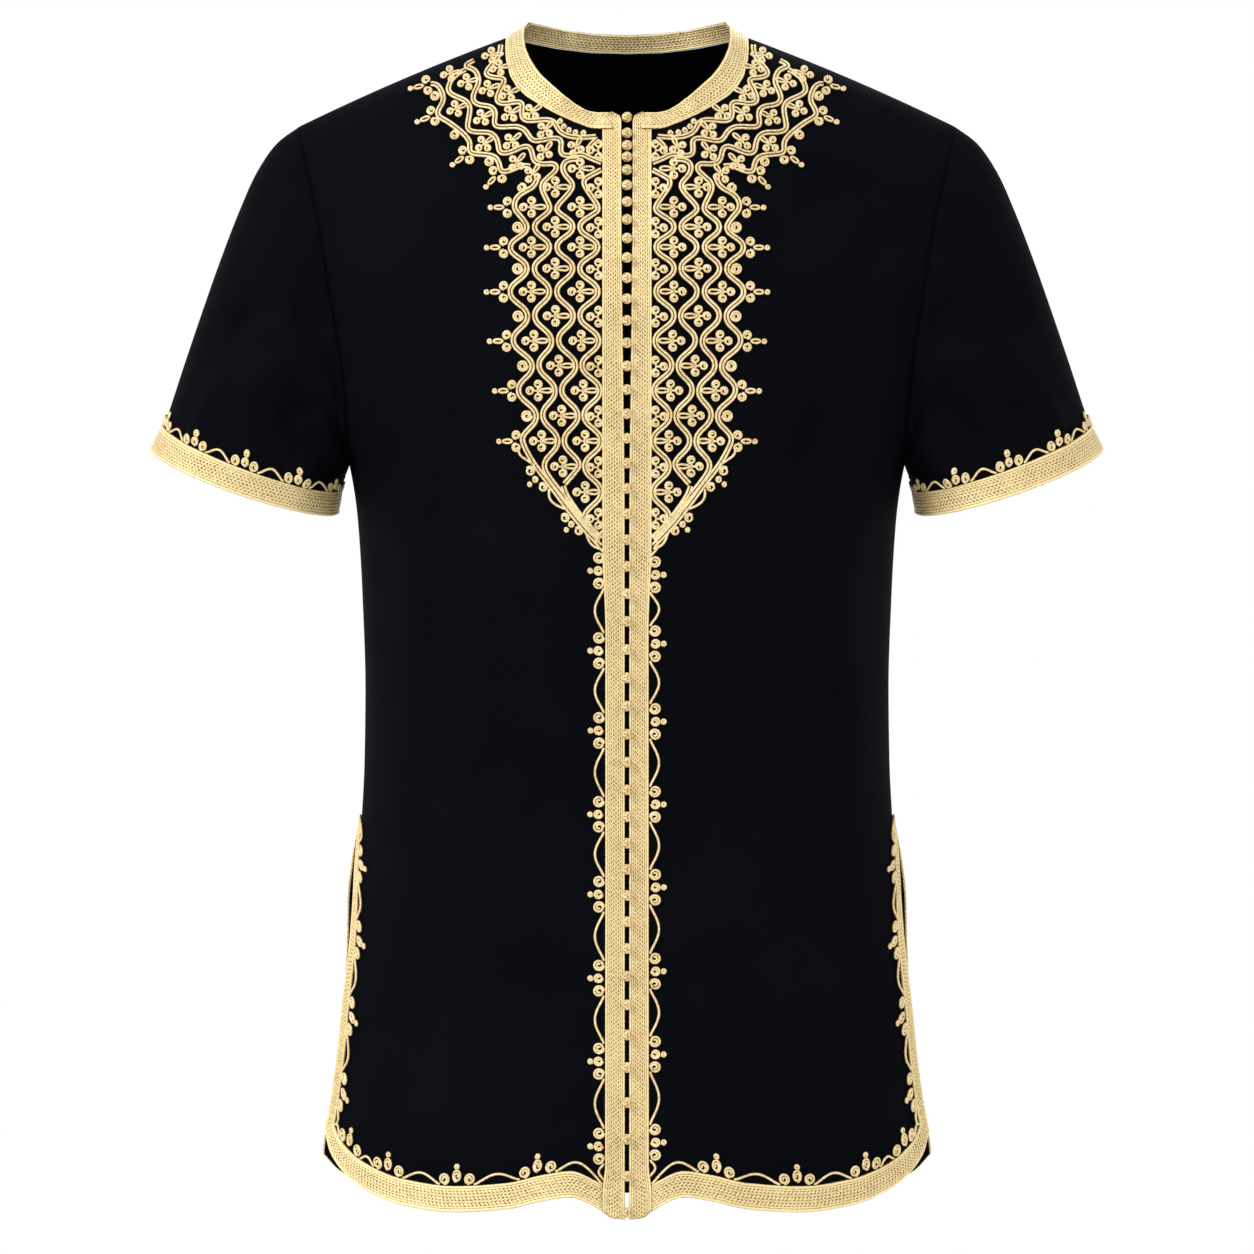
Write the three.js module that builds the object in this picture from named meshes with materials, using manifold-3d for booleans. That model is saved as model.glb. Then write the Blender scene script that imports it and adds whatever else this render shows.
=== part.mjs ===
// A short-sleeved tunic of black cloth in its worn, hollow form, its front opening closed by knotted
// ball buttons, finished with flat gold braid and couched gold cord. Millimetres, +Z up,
// the front faces -Y, and the origin is the middle of the neck at the height of the shoulder seams' inner ends.
import * as THREE from "three";
import Module from "manifold-3d";
import { mergeVertices } from "three/addons/utils/BufferGeometryUtils.js";

const wasm = await Module();
wasm.setup();

// Cloth, seams and trims
const CLOTH_WALL = 1.4; // thickness of the body cloth
const SEAM_HALF = 0.2; // half the gap between two pieces at a seam
const TRIM_LIFT = 0.3; // gap between the cloth and what lies on it
const BRAID_WALL = 1.6; // thickness of the flat braid
const BRAID_INSET = 0.2; // how far a braid keeps inside its own outline
const HEM_BRAID = 19; // width of the braid at hem, slits and cuffs
const OPENING_HALF = 1.5; // half the gap between the two front edges
const PLACKET_INNER = 3.9; // the front edge braid's side next to the buttons
const PLACKET_OUTER = 17.8; // and its other side
const PLACKET_RISE = 14; // how far the front edge braid stands above the cloth at the neck
const NECK_BAND = 15; // width of the braid round the neck
const BAND_WALL = 2.2; // the neck band is braid on both faces

// Body sections: height, half-width at the side, depth of front and back from the shoulder plane,
// how pinched the side is (0.5 is round, more is flatter towards the edge), half the slit's gap
const SECTION = ["z", "halfWidth", "backHalfWidth", "front", "back", "pinch", "slit"];
const SECTIONS = [
  [-880, 222, 223, 112, 112, 0.75, 20],
  [-810, 221, 221.6, 112, 112, 0.75, 19],
  [-770, 214.6, 214.6, 111, 111, 0.75, 18],
  [-741, 210.6, 210.6, 111, 111, 0.75, 17],
  [-697, 206, 206, 110, 110, 0.74, 15],
  [-653, 200.8, 203.6, 109, 109, 0.72, 12],
  [-624, 198.6, 202.9, 109, 108, 0.69, 9],
  [-595, 197, 199.5, 109, 106, 0.66, 4],
  [-562, 193.6, 193.6, 109, 104, 0.63, 0],
  [-520, 191.6, 191.6, 110, 101, 0.58, 0],
  [-470, 191, 191, 112, 100, 0.55, 0],
  [-405, 193, 193, 116, 101, 0.52, 0],
  [-347, 196.5, 196.5, 119, 104, 0.5, 0],
  [-307, 202.6, 202.6, 121, 108, 0.5, 0],
  [-289, 209, 209, 121.5, 110, 0.5, 0],
  [-262, 220, 220, 122, 113, 0.5, 0],
  [-224, 234, 234, 121, 117, 0.5, 0],
  [-181, 250, 250, 119, 119, 0.5, 0],
  [-152, 262, 262, 117, 119, 0.5, 0],
  [-101, 285, 285, 112, 117, 0.5, 0],
  [-60, 300, 300, 106, 115, 0.5, 0],
  [30, 305, 305, 100, 112, 0.5, 0],
];
const ROUNDNESS = 2.2; // exponent of the body's section across

// Shoulders
const NECK_SIDE = { x: 88.4, z: 5.2 }; // inner end of the shoulder seam
const SHOULDER_SLOPE = 0.37; // fall of the seam for each millimetre outwards
const SHOULDER_DROOP = 0.0004; // and how the fall grows
const SHOULDER_TIP = 239; // outer end of the shoulder seam
const NECK_LEVELLING = 30; // length over which the shoulder line levels inside the neck
const SEAM_BACK = 5; // at the neck, the shoulder seam lies this far behind the side seams' plane
const DOME_FRONT = { height: 220, power: 0.55 };
const DOME_BACK = { height: 150, power: 0.5 };

// Armhole, from the shoulder down to the underarm: height and distance from the middle
const ARMHOLE = ["z", "x"];
const ARMHOLES = [
  [-307, 202.6],
  [-289, 202.5],
  [-262, 204],
  [-224, 208],
  [-181, 215.4],
  [-152, 219.5],
  [-101, 230],
  [-80, 235],
  [-60, 239],
];
const UNDERARM = -307;
const ARMHOLE_STEPS = 10;

// Neckline of the cloth, from the front edge to the side and to the middle of the back
// x, z, bandX, bandZ
const NECK_FRONT = [
  [1.5, -68.4, 4, -56.4],
  [3.9, -68.4, 6, -56.3],
  [17.8, -67.6, 20, -55.4],
  [28, -65.4, 30, -52],
  [40, -60.6, 38, -47],
  [52, -54.9, 46, -40.5],
  [63, -48.6, 53, -34],
  [73.2, -42, 61, -26.5],
  [80, -35.2, 66, -20],
  [85, -26.4, 70, -13],
  [88, -14.4, 73.3, -5],
  [88.8, -5, 74.7, 4],
  [88.4, 5.2, 74.3, 13],
];
const NECK_BACK = [
  [0, -2.6, 0, 10.7],
  [27, -2, 23.5, 11.7],
  [52, 0.6, 45, 14.2],
  [72, 3.8, 61.5, 16.8],
  [84, 5.4, 71, 17.8],
  [88.4, 5.2, 74.3, 13],
];

// Shirt-tail hem, from the front edge to the slit corner, and of the back from the middle
const HEM = ["x", "z"];
const HEM_FRONT = [
  [0, -850],
  [10, -849],
  [22, -841],
  [40, -834],
  [60, -837],
  [85, -843],
  [125, -846],
  [160, -842],
  [185, -833],
  [202, -821],
  [212, -808],
  [218.3, -793],
];
const HEM_BACK = [
  [0, -846],
  [100, -846],
  [160, -842],
  [190, -835],
  [210, -824],
  [221.6, -811],
];
const CORNER_FRONT = -793;
const CORNER_BACK = -811;
const SLIT_TOP = -562;

// Sleeve rings from the armhole to the cuff: the outer silhouette's point, the underarm point,
// half the depth front and back, and how far the front of the ring drops below its back
const RING = ["topX", "topZ", "underX", "underZ", "depth", "drop"];
const RINGS = [
  [239, -59.6, 202.6, -307, 60, 0],
  [255, -71.5, 203.5, -309.5, 62, 1],
  [270, -93, 204.5, -312, 64, 2],
  [283, -122, 205.5, -314.5, 65, 3],
  [296, -156, 206.5, -317, 65, 5],
  [309, -193, 207.5, -319.5, 64, 7],
  [323, -234, 208.3, -322, 62, 9],
  [337.5, -276.5, 209, -324.5, 60, 11],
  [346.4, -295, 212, -342, 59, 11],
];

// Soft folds of the worn cloth: a line from one point to another, its half-width and its height
// x1, z1, x2, z2, width, height
const FOLDS_FRONT = [
  [-150, -262, -172, -545, 20, 4.5],
  [-126, -330, -148, -560, 18, -2.5],
  [152, -268, 170, -530, 19, 4],
  [124, -420, 150, -640, 20, -2.5],
  [-52, -600, -150, -735, 24, 3],
  [-95, -640, -178, -790, 20, -2.5],
  [60, -640, 140, -800, 24, 3],
  [110, -560, 172, -700, 20, -2],
  [-185, -225, -120, -330, 18, -2.5],
  [185, -215, 122, -345, 18, -2.5],
];
const FOLDS_BACK = [
  [-150, -250, -160, -545, 20, 4],
  [150, -256, 164, -520, 21, 4],
  [-70, -380, -92, -800, 26, 4.5],
  [78, -420, 96, -790, 28, 4],
  [-24, -430, -14, -770, 22, -3],
  [120, -600, 168, -780, 20, -2.5],
  [-128, -560, -172, -770, 20, -2.5],
  [-60, -150, -150, -230, 26, -2],
  [62, -158, 152, -226, 26, -2],
];
// ring, angle, rings, spread, height
const FOLDS_SLEEVE = [
  [3.2, 62, 1.6, 20, -3.5],
  [4.6, 88, 1.8, 18, 2.5],
  [3.4, 112, 1.4, 16, -3],
  [5.4, 140, 1.6, 18, 2],
  [3.6, 250, 1.6, 22, -3],
  [5.2, 286, 1.8, 20, 2.5],
];

// Buttons: the height of some of them, counted from the neck
const BUTTON_DIA = 7.6;
const BUTTON_COUNT = 45;
const BUTTON = ["number", "z"];
const BUTTONS = [
  [0, -57.5],
  [1, -69.2],
  [4, -96.5],
  [10, -175],
  [20, -344],
  [30, -541.7],
  [39, -717.3],
  [44, -844.5],
];

// Cord ornament of the chest: pairs of cord as one flat ribbon, coiled petals as points of a star
const CORD_PAIR = 4.4;
const CORD_HEIGHT = 1.7;
const CORD_STEP = 8;
const ORNAMENT_LIFT = 1.1; // its pieces are flat across the cloth's curve, so they come closer between their ends
// Upright waves: middle, swing (below 0 it swings in on the odd rows), first and last row
// x, swing, first, last
const WAVES = [
  [75.8, 4.6, 0, 12],
  [61, -6, 0, 13],
  [45.1, 5.7, 0, 14],
  [29, -6.2, -1, 15],
];
// Height of the waves' rows, counted from the neck downwards
const ROW = ["row", "z"];
const ROWS = [
  [-1, -94],
  [0, -110],
  [1, -125],
  [4, -168.4],
  [8, -238],
  [12, -310],
  [16, -384],
];
// The same four lines going on round the neck: angle below level and distance from the fan's middle
const FAN_MIDDLE = -2;
// line, angle, distance
const FAN_LINES = [
  [0, 11.7, 145],
  [0, 16.2, 139],
  [0, 21.4, 148],
  [0, 28.7, 135],
  [0, 36.4, 141],
  [0, 42.3, 127.5],
  [0, 47, 134],
  [1, 16.2, 135],
  [1, 20, 124.5],
  [1, 28.7, 131],
  [1, 35, 118.5],
  [1, 42.3, 123.5],
  [1, 50.4, 114],
  [2, 13.5, 107],
  [2, 20, 120.5],
  [2, 26.2, 109],
  [2, 35, 114.5],
  [2, 40, 100],
  [2, 47.5, 104],
  [2, 57, 90],
  [2, 61.6, 104],
  [3, 17.2, 94.5],
  [3, 26.2, 105],
  [3, 30, 91],
  [3, 40, 96],
  [3, 47.5, 83],
  [3, 58, 86],
  [3, 71, 78],
  [3, 69.4, 89],
];
// Four-petal knots between the lines: distance from the middle, first and last row
// x, first, last
const KNOTS = [
  [66.3, 1, 11],
  [51.3, 2, 12],
  [33, 1, 13],
];
// angle, distance
const FAN_KNOTS = [
  [19, 106.5],
  [23, 98.5],
  [21.4, 132],
  [28.5, 116.7],
  [32.7, 100.5],
  [37, 90],
  [36.4, 126],
  [41.6, 110],
  [48.5, 96.5],
  [53.7, 100],
  [48.2, 119],
  [66.6, 102.3],
];
const PETAL = 8; // from a knot's middle to its petal's end
const PETAL_NECK = 3.8; // and to the notch between two petals
const KNOT_STEM = 11;
// along, half
const FINIALS = [
  [-2, 2],
  [3, 6.2],
  [8, 3.4],
  [16, 1.3],
];
const COIL = 4; // half the width of the coil in a notch of the outline

// Looks up one column of a table by another, with a smooth line through the rows.
function look(columns, rows, key, value, at) {
  const k = columns.indexOf(key);
  const v = columns.indexOf(value);
  const up = rows[0][k] < rows[rows.length - 1][k];
  const list = up ? rows : [...rows].reverse();
  const last = list.length - 1;
  if (at <= list[0][k]) return list[0][v];
  if (at >= list[last][k]) return list[last][v];
  let i = 0;
  while (list[i + 1][k] < at) i++;
  const slope = (n) => {
    if (n === 0 || n === last) return 0;
    const before = (list[n][v] - list[n - 1][v]) / (list[n][k] - list[n - 1][k]);
    const after = (list[n + 1][v] - list[n][v]) / (list[n + 1][k] - list[n][k]);
    return before * after <= 0 ? 0 : (2 * before * after) / (before + after);
  };
  const span = list[i + 1][k] - list[i][k];
  const t = (at - list[i][k]) / span;
  const a = list[i][v];
  const b = list[i + 1][v];
  const first = i === 0 ? (b - a) / span : slope(i);
  const end = i + 1 === last ? (b - a) / span : slope(i + 1);
  return (
    a * (1 + 2 * t) * (1 - t) ** 2 +
    first * span * t * (1 - t) ** 2 +
    b * t * t * (3 - 2 * t) +
    end * span * t * t * (t - 1)
  );
}
const section = (value, z) => look(SECTION, SECTIONS, "z", value, z);

// The shoulder line's height at a distance from the middle.
function shoulderLine(x) {
  const out = Math.abs(x) - NECK_SIDE.x;
  if (out >= 0) return NECK_SIDE.z - SHOULDER_SLOPE * out - SHOULDER_DROOP * out * out;
  return NECK_SIDE.z + SHOULDER_SLOPE * NECK_LEVELLING * (1 - Math.exp(out / NECK_LEVELLING));
}

// How far out, 0 to 1, the dome of the shoulder has come at a depth below the shoulder line.
function dome(below, shape) {
  const t = THREE.MathUtils.clamp(below / shape.height, 0, 1);
  return (1 - (1 - t) ** 2) ** shape.power;
}

// The sum of the soft folds at a point of the front or the back.
function folds(rows, x, z) {
  let sum = 0;
  for (const [x1, z1, x2, z2, width, height] of rows) {
    const run = Math.hypot(x2 - x1, z2 - z1);
    const along = ((x - x1) * (x2 - x1) + (z - z1) * (z2 - z1)) / run;
    const across = ((x - x1) * (z2 - z1) - (z - z1) * (x2 - x1)) / run;
    const over = Math.max(0, -along, along - run) / width;
    sum += height * Math.exp(-((across / width) ** 2) - over * over);
  }
  return sum;
}

// One half of the body, front or back: its side line and its surface.
class BodySide {
  constructor(facing, widthColumn, depthColumn, domeShape, foldRows) {
    this.facing = facing; // -1 front, 1 back
    this.widthColumn = widthColumn;
    this.depthColumn = depthColumn;
    this.domeShape = domeShape;
    this.foldRows = foldRows;
  }
  depth(z) {
    return section(this.depthColumn, z);
  }
  // Share of the quarter turn, 0 at the middle and 1 at the side, where the cloth ends.
  edgeTurn(z) {
    const gap = section("slit", z) / this.depth(z);
    return (2 / Math.PI) * Math.acos(Math.min(1, gap ** (1 / (2 * section("pinch", z)))));
  }
  fullWidth(z) {
    return section(this.widthColumn, z) / this.acrossAt(this.edgeTurn(z));
  }
  acrossAt(turn) {
    return Math.sin((turn * Math.PI) / 2) ** (2 / ROUNDNESS);
  }
  turnAt(x, z) {
    const share = Math.min(1, Math.abs(x) / this.fullWidth(z));
    return (2 / Math.PI) * Math.asin(share ** (ROUNDNESS / 2));
  }
  // The cloth's outer point at a share of the quarter turn and a height.
  point(turn, z, hand) {
    const x = hand * this.fullWidth(z) * this.acrossAt(turn);
    const round = Math.max(0, Math.cos((turn * Math.PI) / 2)) ** (2 * section("pinch", z));
    return new THREE.Vector3(x, this.level(x, z, round), z);
  }
  // The cloth's outer point straight behind a place of the front view.
  under(x, z) {
    const share = Math.min(1, Math.abs(x) / this.fullWidth(z));
    const round = (1 - share ** ROUNDNESS) ** section("pinch", z);
    return new THREE.Vector3(x, this.level(x, z, round), z);
  }
  level(x, z, round) {
    const reach = round * dome(shoulderLine(x) - z, this.domeShape);
    const out = this.depth(z) * reach + folds(this.foldRows, x, z) * Math.min(1, reach * 2);
    return this.seamPlane(x) + this.facing * (SEAM_HALF + out);
  }
  seamPlane(x) {
    return SEAM_BACK * (1 - Math.abs(x) / SHOULDER_TIP);
  }
}
const FRONT = new BodySide(-1, "halfWidth", "front", DOME_FRONT, FOLDS_FRONT);
const BACK = new BodySide(1, "backHalfWidth", "back", DOME_BACK, FOLDS_BACK);

// A sheet of points in rows and columns, with the outward normals of its cloth.
class Sheet {
  constructor(rows, closed, outwards) {
    this.rows = rows;
    this.closed = closed;
    this.normals = rows.map((row) => row.map(() => new THREE.Vector3()));
    const columns = rows[0].length;
    for (let i = 0; i + 1 < rows.length; i++)
      for (let j = 0; j + 1 < columns || (closed && j < columns); j++) {
        const k = (j + 1) % columns;
        const one = rows[i + 1][k].clone().sub(rows[i][j]);
        const other = rows[i + 1][j].clone().sub(rows[i][k]);
        const normal = one.cross(other).multiplyScalar(outwards);
        for (const [a, b] of [[i, j], [i, k], [i + 1, j], [i + 1, k]]) this.normals[a][b].add(normal);
      }
    this.normals.forEach((row) => row.forEach((n) => n.normalize()));
    this.outwards = outwards;
  }
}

// One closed body over some cells of a sheet, between two distances from its points.
function wall(sheet, cells, inner, outer, inset = 0) {
  const columns = sheet.rows[0].length;
  const index = new Map();
  const used = [];
  const vertexOf = (i, j) => {
    const key = i * columns + (j % columns);
    if (!index.has(key)) {
      index.set(key, used.length);
      used.push([i, j % columns]);
    }
    return index.get(key);
  };
  const loops = cells.map(([i, j]) => [vertexOf(i, j), vertexOf(i, j + 1), vertexOf(i + 1, j + 1), vertexOf(i + 1, j)]);
  const edges = new Map();
  for (const loop of loops)
    loop.forEach((a, n) => {
      const b = loop[(n + 1) % 4];
      if (edges.has(b + "_" + a)) edges.delete(b + "_" + a);
      else edges.set(a + "_" + b, [a, b]);
    });
  const place = used.map(([i, j]) => sheet.rows[i][j].clone());
  const normal = used.map(([i, j]) => sheet.normals[i][j]);
  if (inset) {
    const pulls = used.map(() => []);
    for (const [a, b] of edges.values()) {
      const along = place[b].clone().sub(place[a]).normalize();
      for (const v of [a, b]) pulls[v].push(normal[v].clone().cross(along).multiplyScalar(sheet.outwards).normalize());
    }
    const moved = place.map((p, v) => {
      if (!pulls[v].length) return p;
      const sum = pulls[v].reduce((s, pull) => s.add(pull), new THREE.Vector3());
      return p.clone().addScaledVector(sum, (inset * pulls[v].length) / Math.max(0.5, sum.lengthSq()));
    });
    moved.forEach((p, v) => place[v].copy(p));
  }
  const top = place.map((p, v) => p.clone().addScaledVector(normal[v], outer));
  const base = place.map((p, v) => p.clone().addScaledVector(normal[v], inner));
  const corners = [...top, ...base].flatMap((p) => [p.x, p.y, p.z]);
  const low = top.length;
  const faces = [];
  const quad = (a, b, c, d) => faces.push(a, b, c, a, c, d);
  for (const [a, b, c, d] of loops) {
    quad(a, b, c, d);
    quad(a + low, d + low, c + low, b + low);
  }
  for (const [a, b] of edges.values()) quad(b, a, a + low, b + low);
  if (sheet.outwards < 0) for (let f = 0; f < faces.length; f += 3) [faces[f], faces[f + 1]] = [faces[f + 1], faces[f]];
  const geometry = new THREE.BufferGeometry();
  geometry.setAttribute("position", new THREE.Float32BufferAttribute(corners, 3));
  geometry.setIndex(faces);
  return geometry;
}
const cellsOf = (rowFrom, rowTo, columnFrom, columnTo) => {
  const cells = [];
  for (let i = rowFrom; i < rowTo; i++) for (let j = columnFrom; j < columnTo; j++) cells.push([i, j]);
  return cells;
};

// Rows of the body's grid, as heights at its side: the hem braid's row, up to the slit's top, to the
// underarm, and up the armhole to the shoulder tip.
const SLIT_ROWS = 4;
const SIDE_ROWS = 5;
function armholeHeight(k) {
  const down = (1 - Math.cos((Math.PI * k) / ARMHOLE_STEPS)) / 2;
  return THREE.MathUtils.lerp(shoulderLine(SHOULDER_TIP), UNDERARM, down);
}
function sideHeights(corner) {
  const heights = [corner, corner + HEM_BRAID];
  for (let i = 1; i <= SLIT_ROWS; i++) heights.push(THREE.MathUtils.lerp(corner + HEM_BRAID, SLIT_TOP, i / SLIT_ROWS));
  for (let i = 1; i <= SIDE_ROWS; i++) heights.push(THREE.MathUtils.lerp(SLIT_TOP, UNDERARM, i / SIDE_ROWS));
  for (let k = ARMHOLE_STEPS - 1; k >= 0; k--) heights.push(armholeHeight(k));
  return heights;
}
const SLIT_TOP_ROW = 1 + SLIT_ROWS;
const UNDERARM_ROW = SLIT_TOP_ROW + SIDE_ROWS;
const TOP_ROW = UNDERARM_ROW + ARMHOLE_STEPS;

// Columns of the grid from the middle to the side, as shares of the way: half of them end on the
// neckline, the others on the shoulder seam, and the last is the slit braid's.
const NECK_COLUMNS = 6;
const SHOULDER_COLUMNS = 5;
const SLIT_BRAID_SHARE = 0.07;
const FAN = [];
for (let i = 1; i <= NECK_COLUMNS; i++) FAN.push((0.5 * i) / NECK_COLUMNS);
for (let i = 1; i <= SHOULDER_COLUMNS; i++) FAN.push(0.5 + ((0.5 - SLIT_BRAID_SHARE) * i) / SHOULDER_COLUMNS);
FAN.push(1);

// A point of the top line at a share of the way across: along the neckline up to one half, then
// along the shoulder seam. It also gives the neck band's upper edge there.
function topLine(neck, across) {
  if (across > 0.5) {
    const x = THREE.MathUtils.lerp(NECK_SIDE.x, SHOULDER_TIP, 2 * across - 1);
    return [x, shoulderLine(x), x, shoulderLine(x)];
  }
  const lengths = [0];
  for (let i = 1; i < neck.length; i++)
    lengths.push(lengths[i - 1] + Math.hypot(neck[i][0] - neck[i - 1][0], neck[i][1] - neck[i - 1][1]));
  const want = 2 * across * lengths[lengths.length - 1];
  let i = 1;
  while (i < neck.length - 1 && lengths[i] < want) i++;
  const t = (want - lengths[i - 1]) / (lengths[i] - lengths[i - 1]);
  return neck[i].map((value, n) => THREE.MathUtils.lerp(neck[i - 1][n], value, t));
}

// One half of the front or back as rows of points, from the straight columns to the side.
function bodyRows(side, hand, hem, neck, corner, straight) {
  const heights = sideHeights(corner);
  const { lerp } = THREE.MathUtils;
  const fromX = straight[straight.length - 1];
  const fanNeck = neck.filter((row) => row[0] >= fromX);
  const hemAt = (x) => look(HEM, hem, "x", "z", x);
  const startLow = hemAt(fromX);
  const startHigh = fanNeck[0][1];
  const low = [side.turnAt(fromX, startLow), startLow];
  const high = [side.turnAt(fromX, startHigh), startHigh];
  const lowSide = [side.edgeTurn(corner), corner];
  const highSide = [side.turnAt(SHOULDER_TIP, heights[TOP_ROW]), heights[TOP_ROW]];
  return heights.map((height, i) => {
    const up = (height - corner) / (heights[TOP_ROW] - corner);
    const row = straight.map((x, n) => {
      const z = i === 1 ? hemAt(x) + HEM_BRAID : lerp(hemAt(x), neck[n][1], up);
      return side.under(hand * x, z);
    });
    const startZ = lerp(startLow, startHigh, up);
    const left = [side.turnAt(fromX, startZ), startZ];
    const right = [i <= UNDERARM_ROW ? side.edgeTurn(height) : side.turnAt(look(ARMHOLE, ARMHOLES, "z", "x", height), height), height];
    for (const across of FAN) {
      const hemTurn = lerp(low[0], lowSide[0], across);
      const hemZ = hemAt(side.fullWidth(corner) * side.acrossAt(hemTurn));
      const [topX, topZ] = topLine(fanNeck, across);
      const bottom = [hemTurn, across === 1 ? corner : hemZ];
      const top = [side.turnAt(topX, topZ), topZ];
      const blend = (n) =>
        (1 - up) * bottom[n] + up * top[n] + (1 - across) * left[n] + across * right[n] -
        (1 - across) * ((1 - up) * low[n] + up * high[n]) - across * ((1 - up) * lowSide[n] + up * highSide[n]);
      let [turn, z] = [blend(0), blend(1)];
      if (across === 1) [turn, z] = right;
      if (i === TOP_ROW) [turn, z] = top;
      if (i === 1 && across < 1) z = lerp(bottom[1] + HEM_BRAID, z, across ** 8);
      row.push(side.point(turn, z, hand));
    }
    return row;
  });
}

// A sleeve as rings of points, from the armhole's own points to the cuff.
const AROUND = 2 * ARMHOLE_STEPS;
function sleeveRows(hand, armhole) {
  const rows = RINGS.map((ring, r) => {
    const of = (name) => ring[RING.indexOf(name)];
    const top = new THREE.Vector3(hand * of("topX"), 0, of("topZ"));
    const under = new THREE.Vector3(hand * of("underX"), 0, of("underZ"));
    const middle = top.clone().add(under).multiplyScalar(0.5);
    const half = top.clone().sub(under).multiplyScalar(0.5);
    const along = new THREE.Vector3(half.z, 0, -half.x).normalize().multiplyScalar(hand);
    if (along.z > 0) along.negate();
    return Array.from({ length: AROUND }, (_, t) => {
      const angle = (2 * Math.PI * t) / AROUND;
      const fold = sleeveFold(r, (180 * angle) / Math.PI);
      const depth = of("depth") + fold;
      return middle
        .clone()
        .addScaledVector(half, Math.cos(angle))
        .add(new THREE.Vector3(0, -depth * Math.sin(angle), 0))
        .addScaledVector(along, of("drop") * Math.sin(angle));
    });
  });
  const shift = armhole.map((point, t) => point.clone().sub(rows[0][t]));
  const lastRing = RINGS.length - 1;
  rows.forEach((row, r) => row.forEach((point, t) => point.addScaledVector(shift[t], (1 - r / lastRing) ** 2)));
  return rows;
}
function sleeveFold(ring, angle) {
  let sum = 0;
  for (const [at, around, rings, spread, height] of FOLDS_SLEEVE)
    sum += height * Math.exp(-(((ring - at) / rings) ** 2) - ((angle - around) / spread) ** 2);
  return sum;
}

const tunic = new THREE.Group();
tunic.name = "tunic";
const black = new THREE.MeshStandardMaterial({ color: "#0e0e14", roughness: 0.85, metalness: 0 });
const gold = new THREE.MeshStandardMaterial({ color: "#d9bd7c", roughness: 0.45, metalness: 0.35 });
function add(name, geometry, material) {
  const mesh = new THREE.Mesh(geometry, material);
  mesh.name = name;
  tunic.add(mesh);
}

// The fronts, one a side, and the back in one piece.
const STRAIGHT = [OPENING_HALF, PLACKET_INNER, PLACKET_OUTER];
const HANDS = [
  { name: "left", hand: -1 },
  { name: "right", hand: 1 },
];
const fronts = HANDS.map(({ hand }) => new Sheet(bodyRows(FRONT, hand, HEM_FRONT, NECK_FRONT, CORNER_FRONT, STRAIGHT), false, hand));
const backHalves = HANDS.map(({ hand }) => bodyRows(BACK, hand, HEM_BACK, NECK_BACK, CORNER_BACK, [0]));
const back = new Sheet(backHalves[0].map((row, i) => [...row].reverse().concat(backHalves[1][i].slice(1))), false, -1);
const FRONT_SIDE = STRAIGHT.length + FAN.length - 1;
const FRONT_NECK_SIDE = STRAIGHT.length + NECK_COLUMNS - 1;
const BACK_MIDDLE = FAN.length;
const backColumn = (hand, fromMiddle) => BACK_MIDDLE + hand * fromMiddle;

// At the shoulder and side seams both pieces end on the same plane across the seam.
function flatten(normal) {
  normal.y = 0;
  normal.normalize();
}
for (const { hand } of HANDS) {
  const front = fronts[hand < 0 ? 0 : 1];
  for (let j = FRONT_NECK_SIDE; j <= FRONT_SIDE; j++) flatten(front.normals[TOP_ROW][j]);
  for (let j = NECK_COLUMNS; j <= FAN.length; j++) flatten(back.normals[TOP_ROW][backColumn(hand, j)]);
  for (let i = SLIT_TOP_ROW; i <= UNDERARM_ROW; i++) {
    flatten(front.normals[i][FRONT_SIDE]);
    flatten(back.normals[i][backColumn(hand, FAN.length)]);
  }
}

// Each sleeve starts on the armhole's points; the three pieces share a mitred rim there.
const sleeves = HANDS.map(({ hand }) => {
  const front = fronts[hand < 0 ? 0 : 1];
  const backEdge = backColumn(hand, FAN.length);
  const seam = Array.from({ length: AROUND }, (_, t) => {
    const down = Math.min(t, AROUND - t);
    const inFront = { sheet: front, i: TOP_ROW - down, j: FRONT_SIDE };
    const behind = { sheet: back, i: TOP_ROW - down, j: backEdge };
    if (down === 0 || down === ARMHOLE_STEPS) return [inFront, behind];
    return t < ARMHOLE_STEPS ? [inFront] : [behind];
  });
  const armhole = seam.map((ends) => {
    const sum = new THREE.Vector3();
    ends.forEach(({ sheet, i, j }) => sum.add(sheet.rows[i][j]));
    return sum.multiplyScalar(1 / ends.length);
  });
  const sleeve = new Sheet(sleeveRows(hand, armhole), true, hand);
  seam.forEach((ends, t) => {
    const mitre = sleeve.normals[0][t].clone();
    const body = new THREE.Vector3();
    ends.forEach(({ sheet, i, j }) => body.add(sheet.normals[i][j]));
    mitre.add(body.normalize());
    if (ends.length > 1) mitre.y = 0;
    mitre.normalize();
    ends.forEach(({ sheet, i, j }) => sheet.normals[i][j].copy(mitre));
    sleeve.normals[0][t].copy(mitre);
  });
  armhole.forEach((point, t) => {
    const along = armhole[(t + 1) % AROUND].clone().sub(armhole[(t + AROUND - 1) % AROUND]);
    const away = along.cross(sleeve.normals[0][t]).normalize().multiplyScalar(-hand);
    sleeve.rows[0][t].addScaledVector(away, 2 * SEAM_HALF);
  });
  return sleeve;
});

fronts.forEach((sheet, n) => add("front_" + HANDS[n].name, wall(sheet, cellsOf(0, TOP_ROW, 0, FRONT_SIDE), -CLOTH_WALL, 0), black));
add("back", wall(back, cellsOf(0, TOP_ROW, 0, 2 * FAN.length), -CLOTH_WALL, 0), black);
const CUFF = RINGS.length - 1;
sleeves.forEach((sheet, n) => add("sleeve_" + HANDS[n].name, wall(sheet, cellsOf(0, CUFF, 0, AROUND), -CLOTH_WALL, 0), black));


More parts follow.
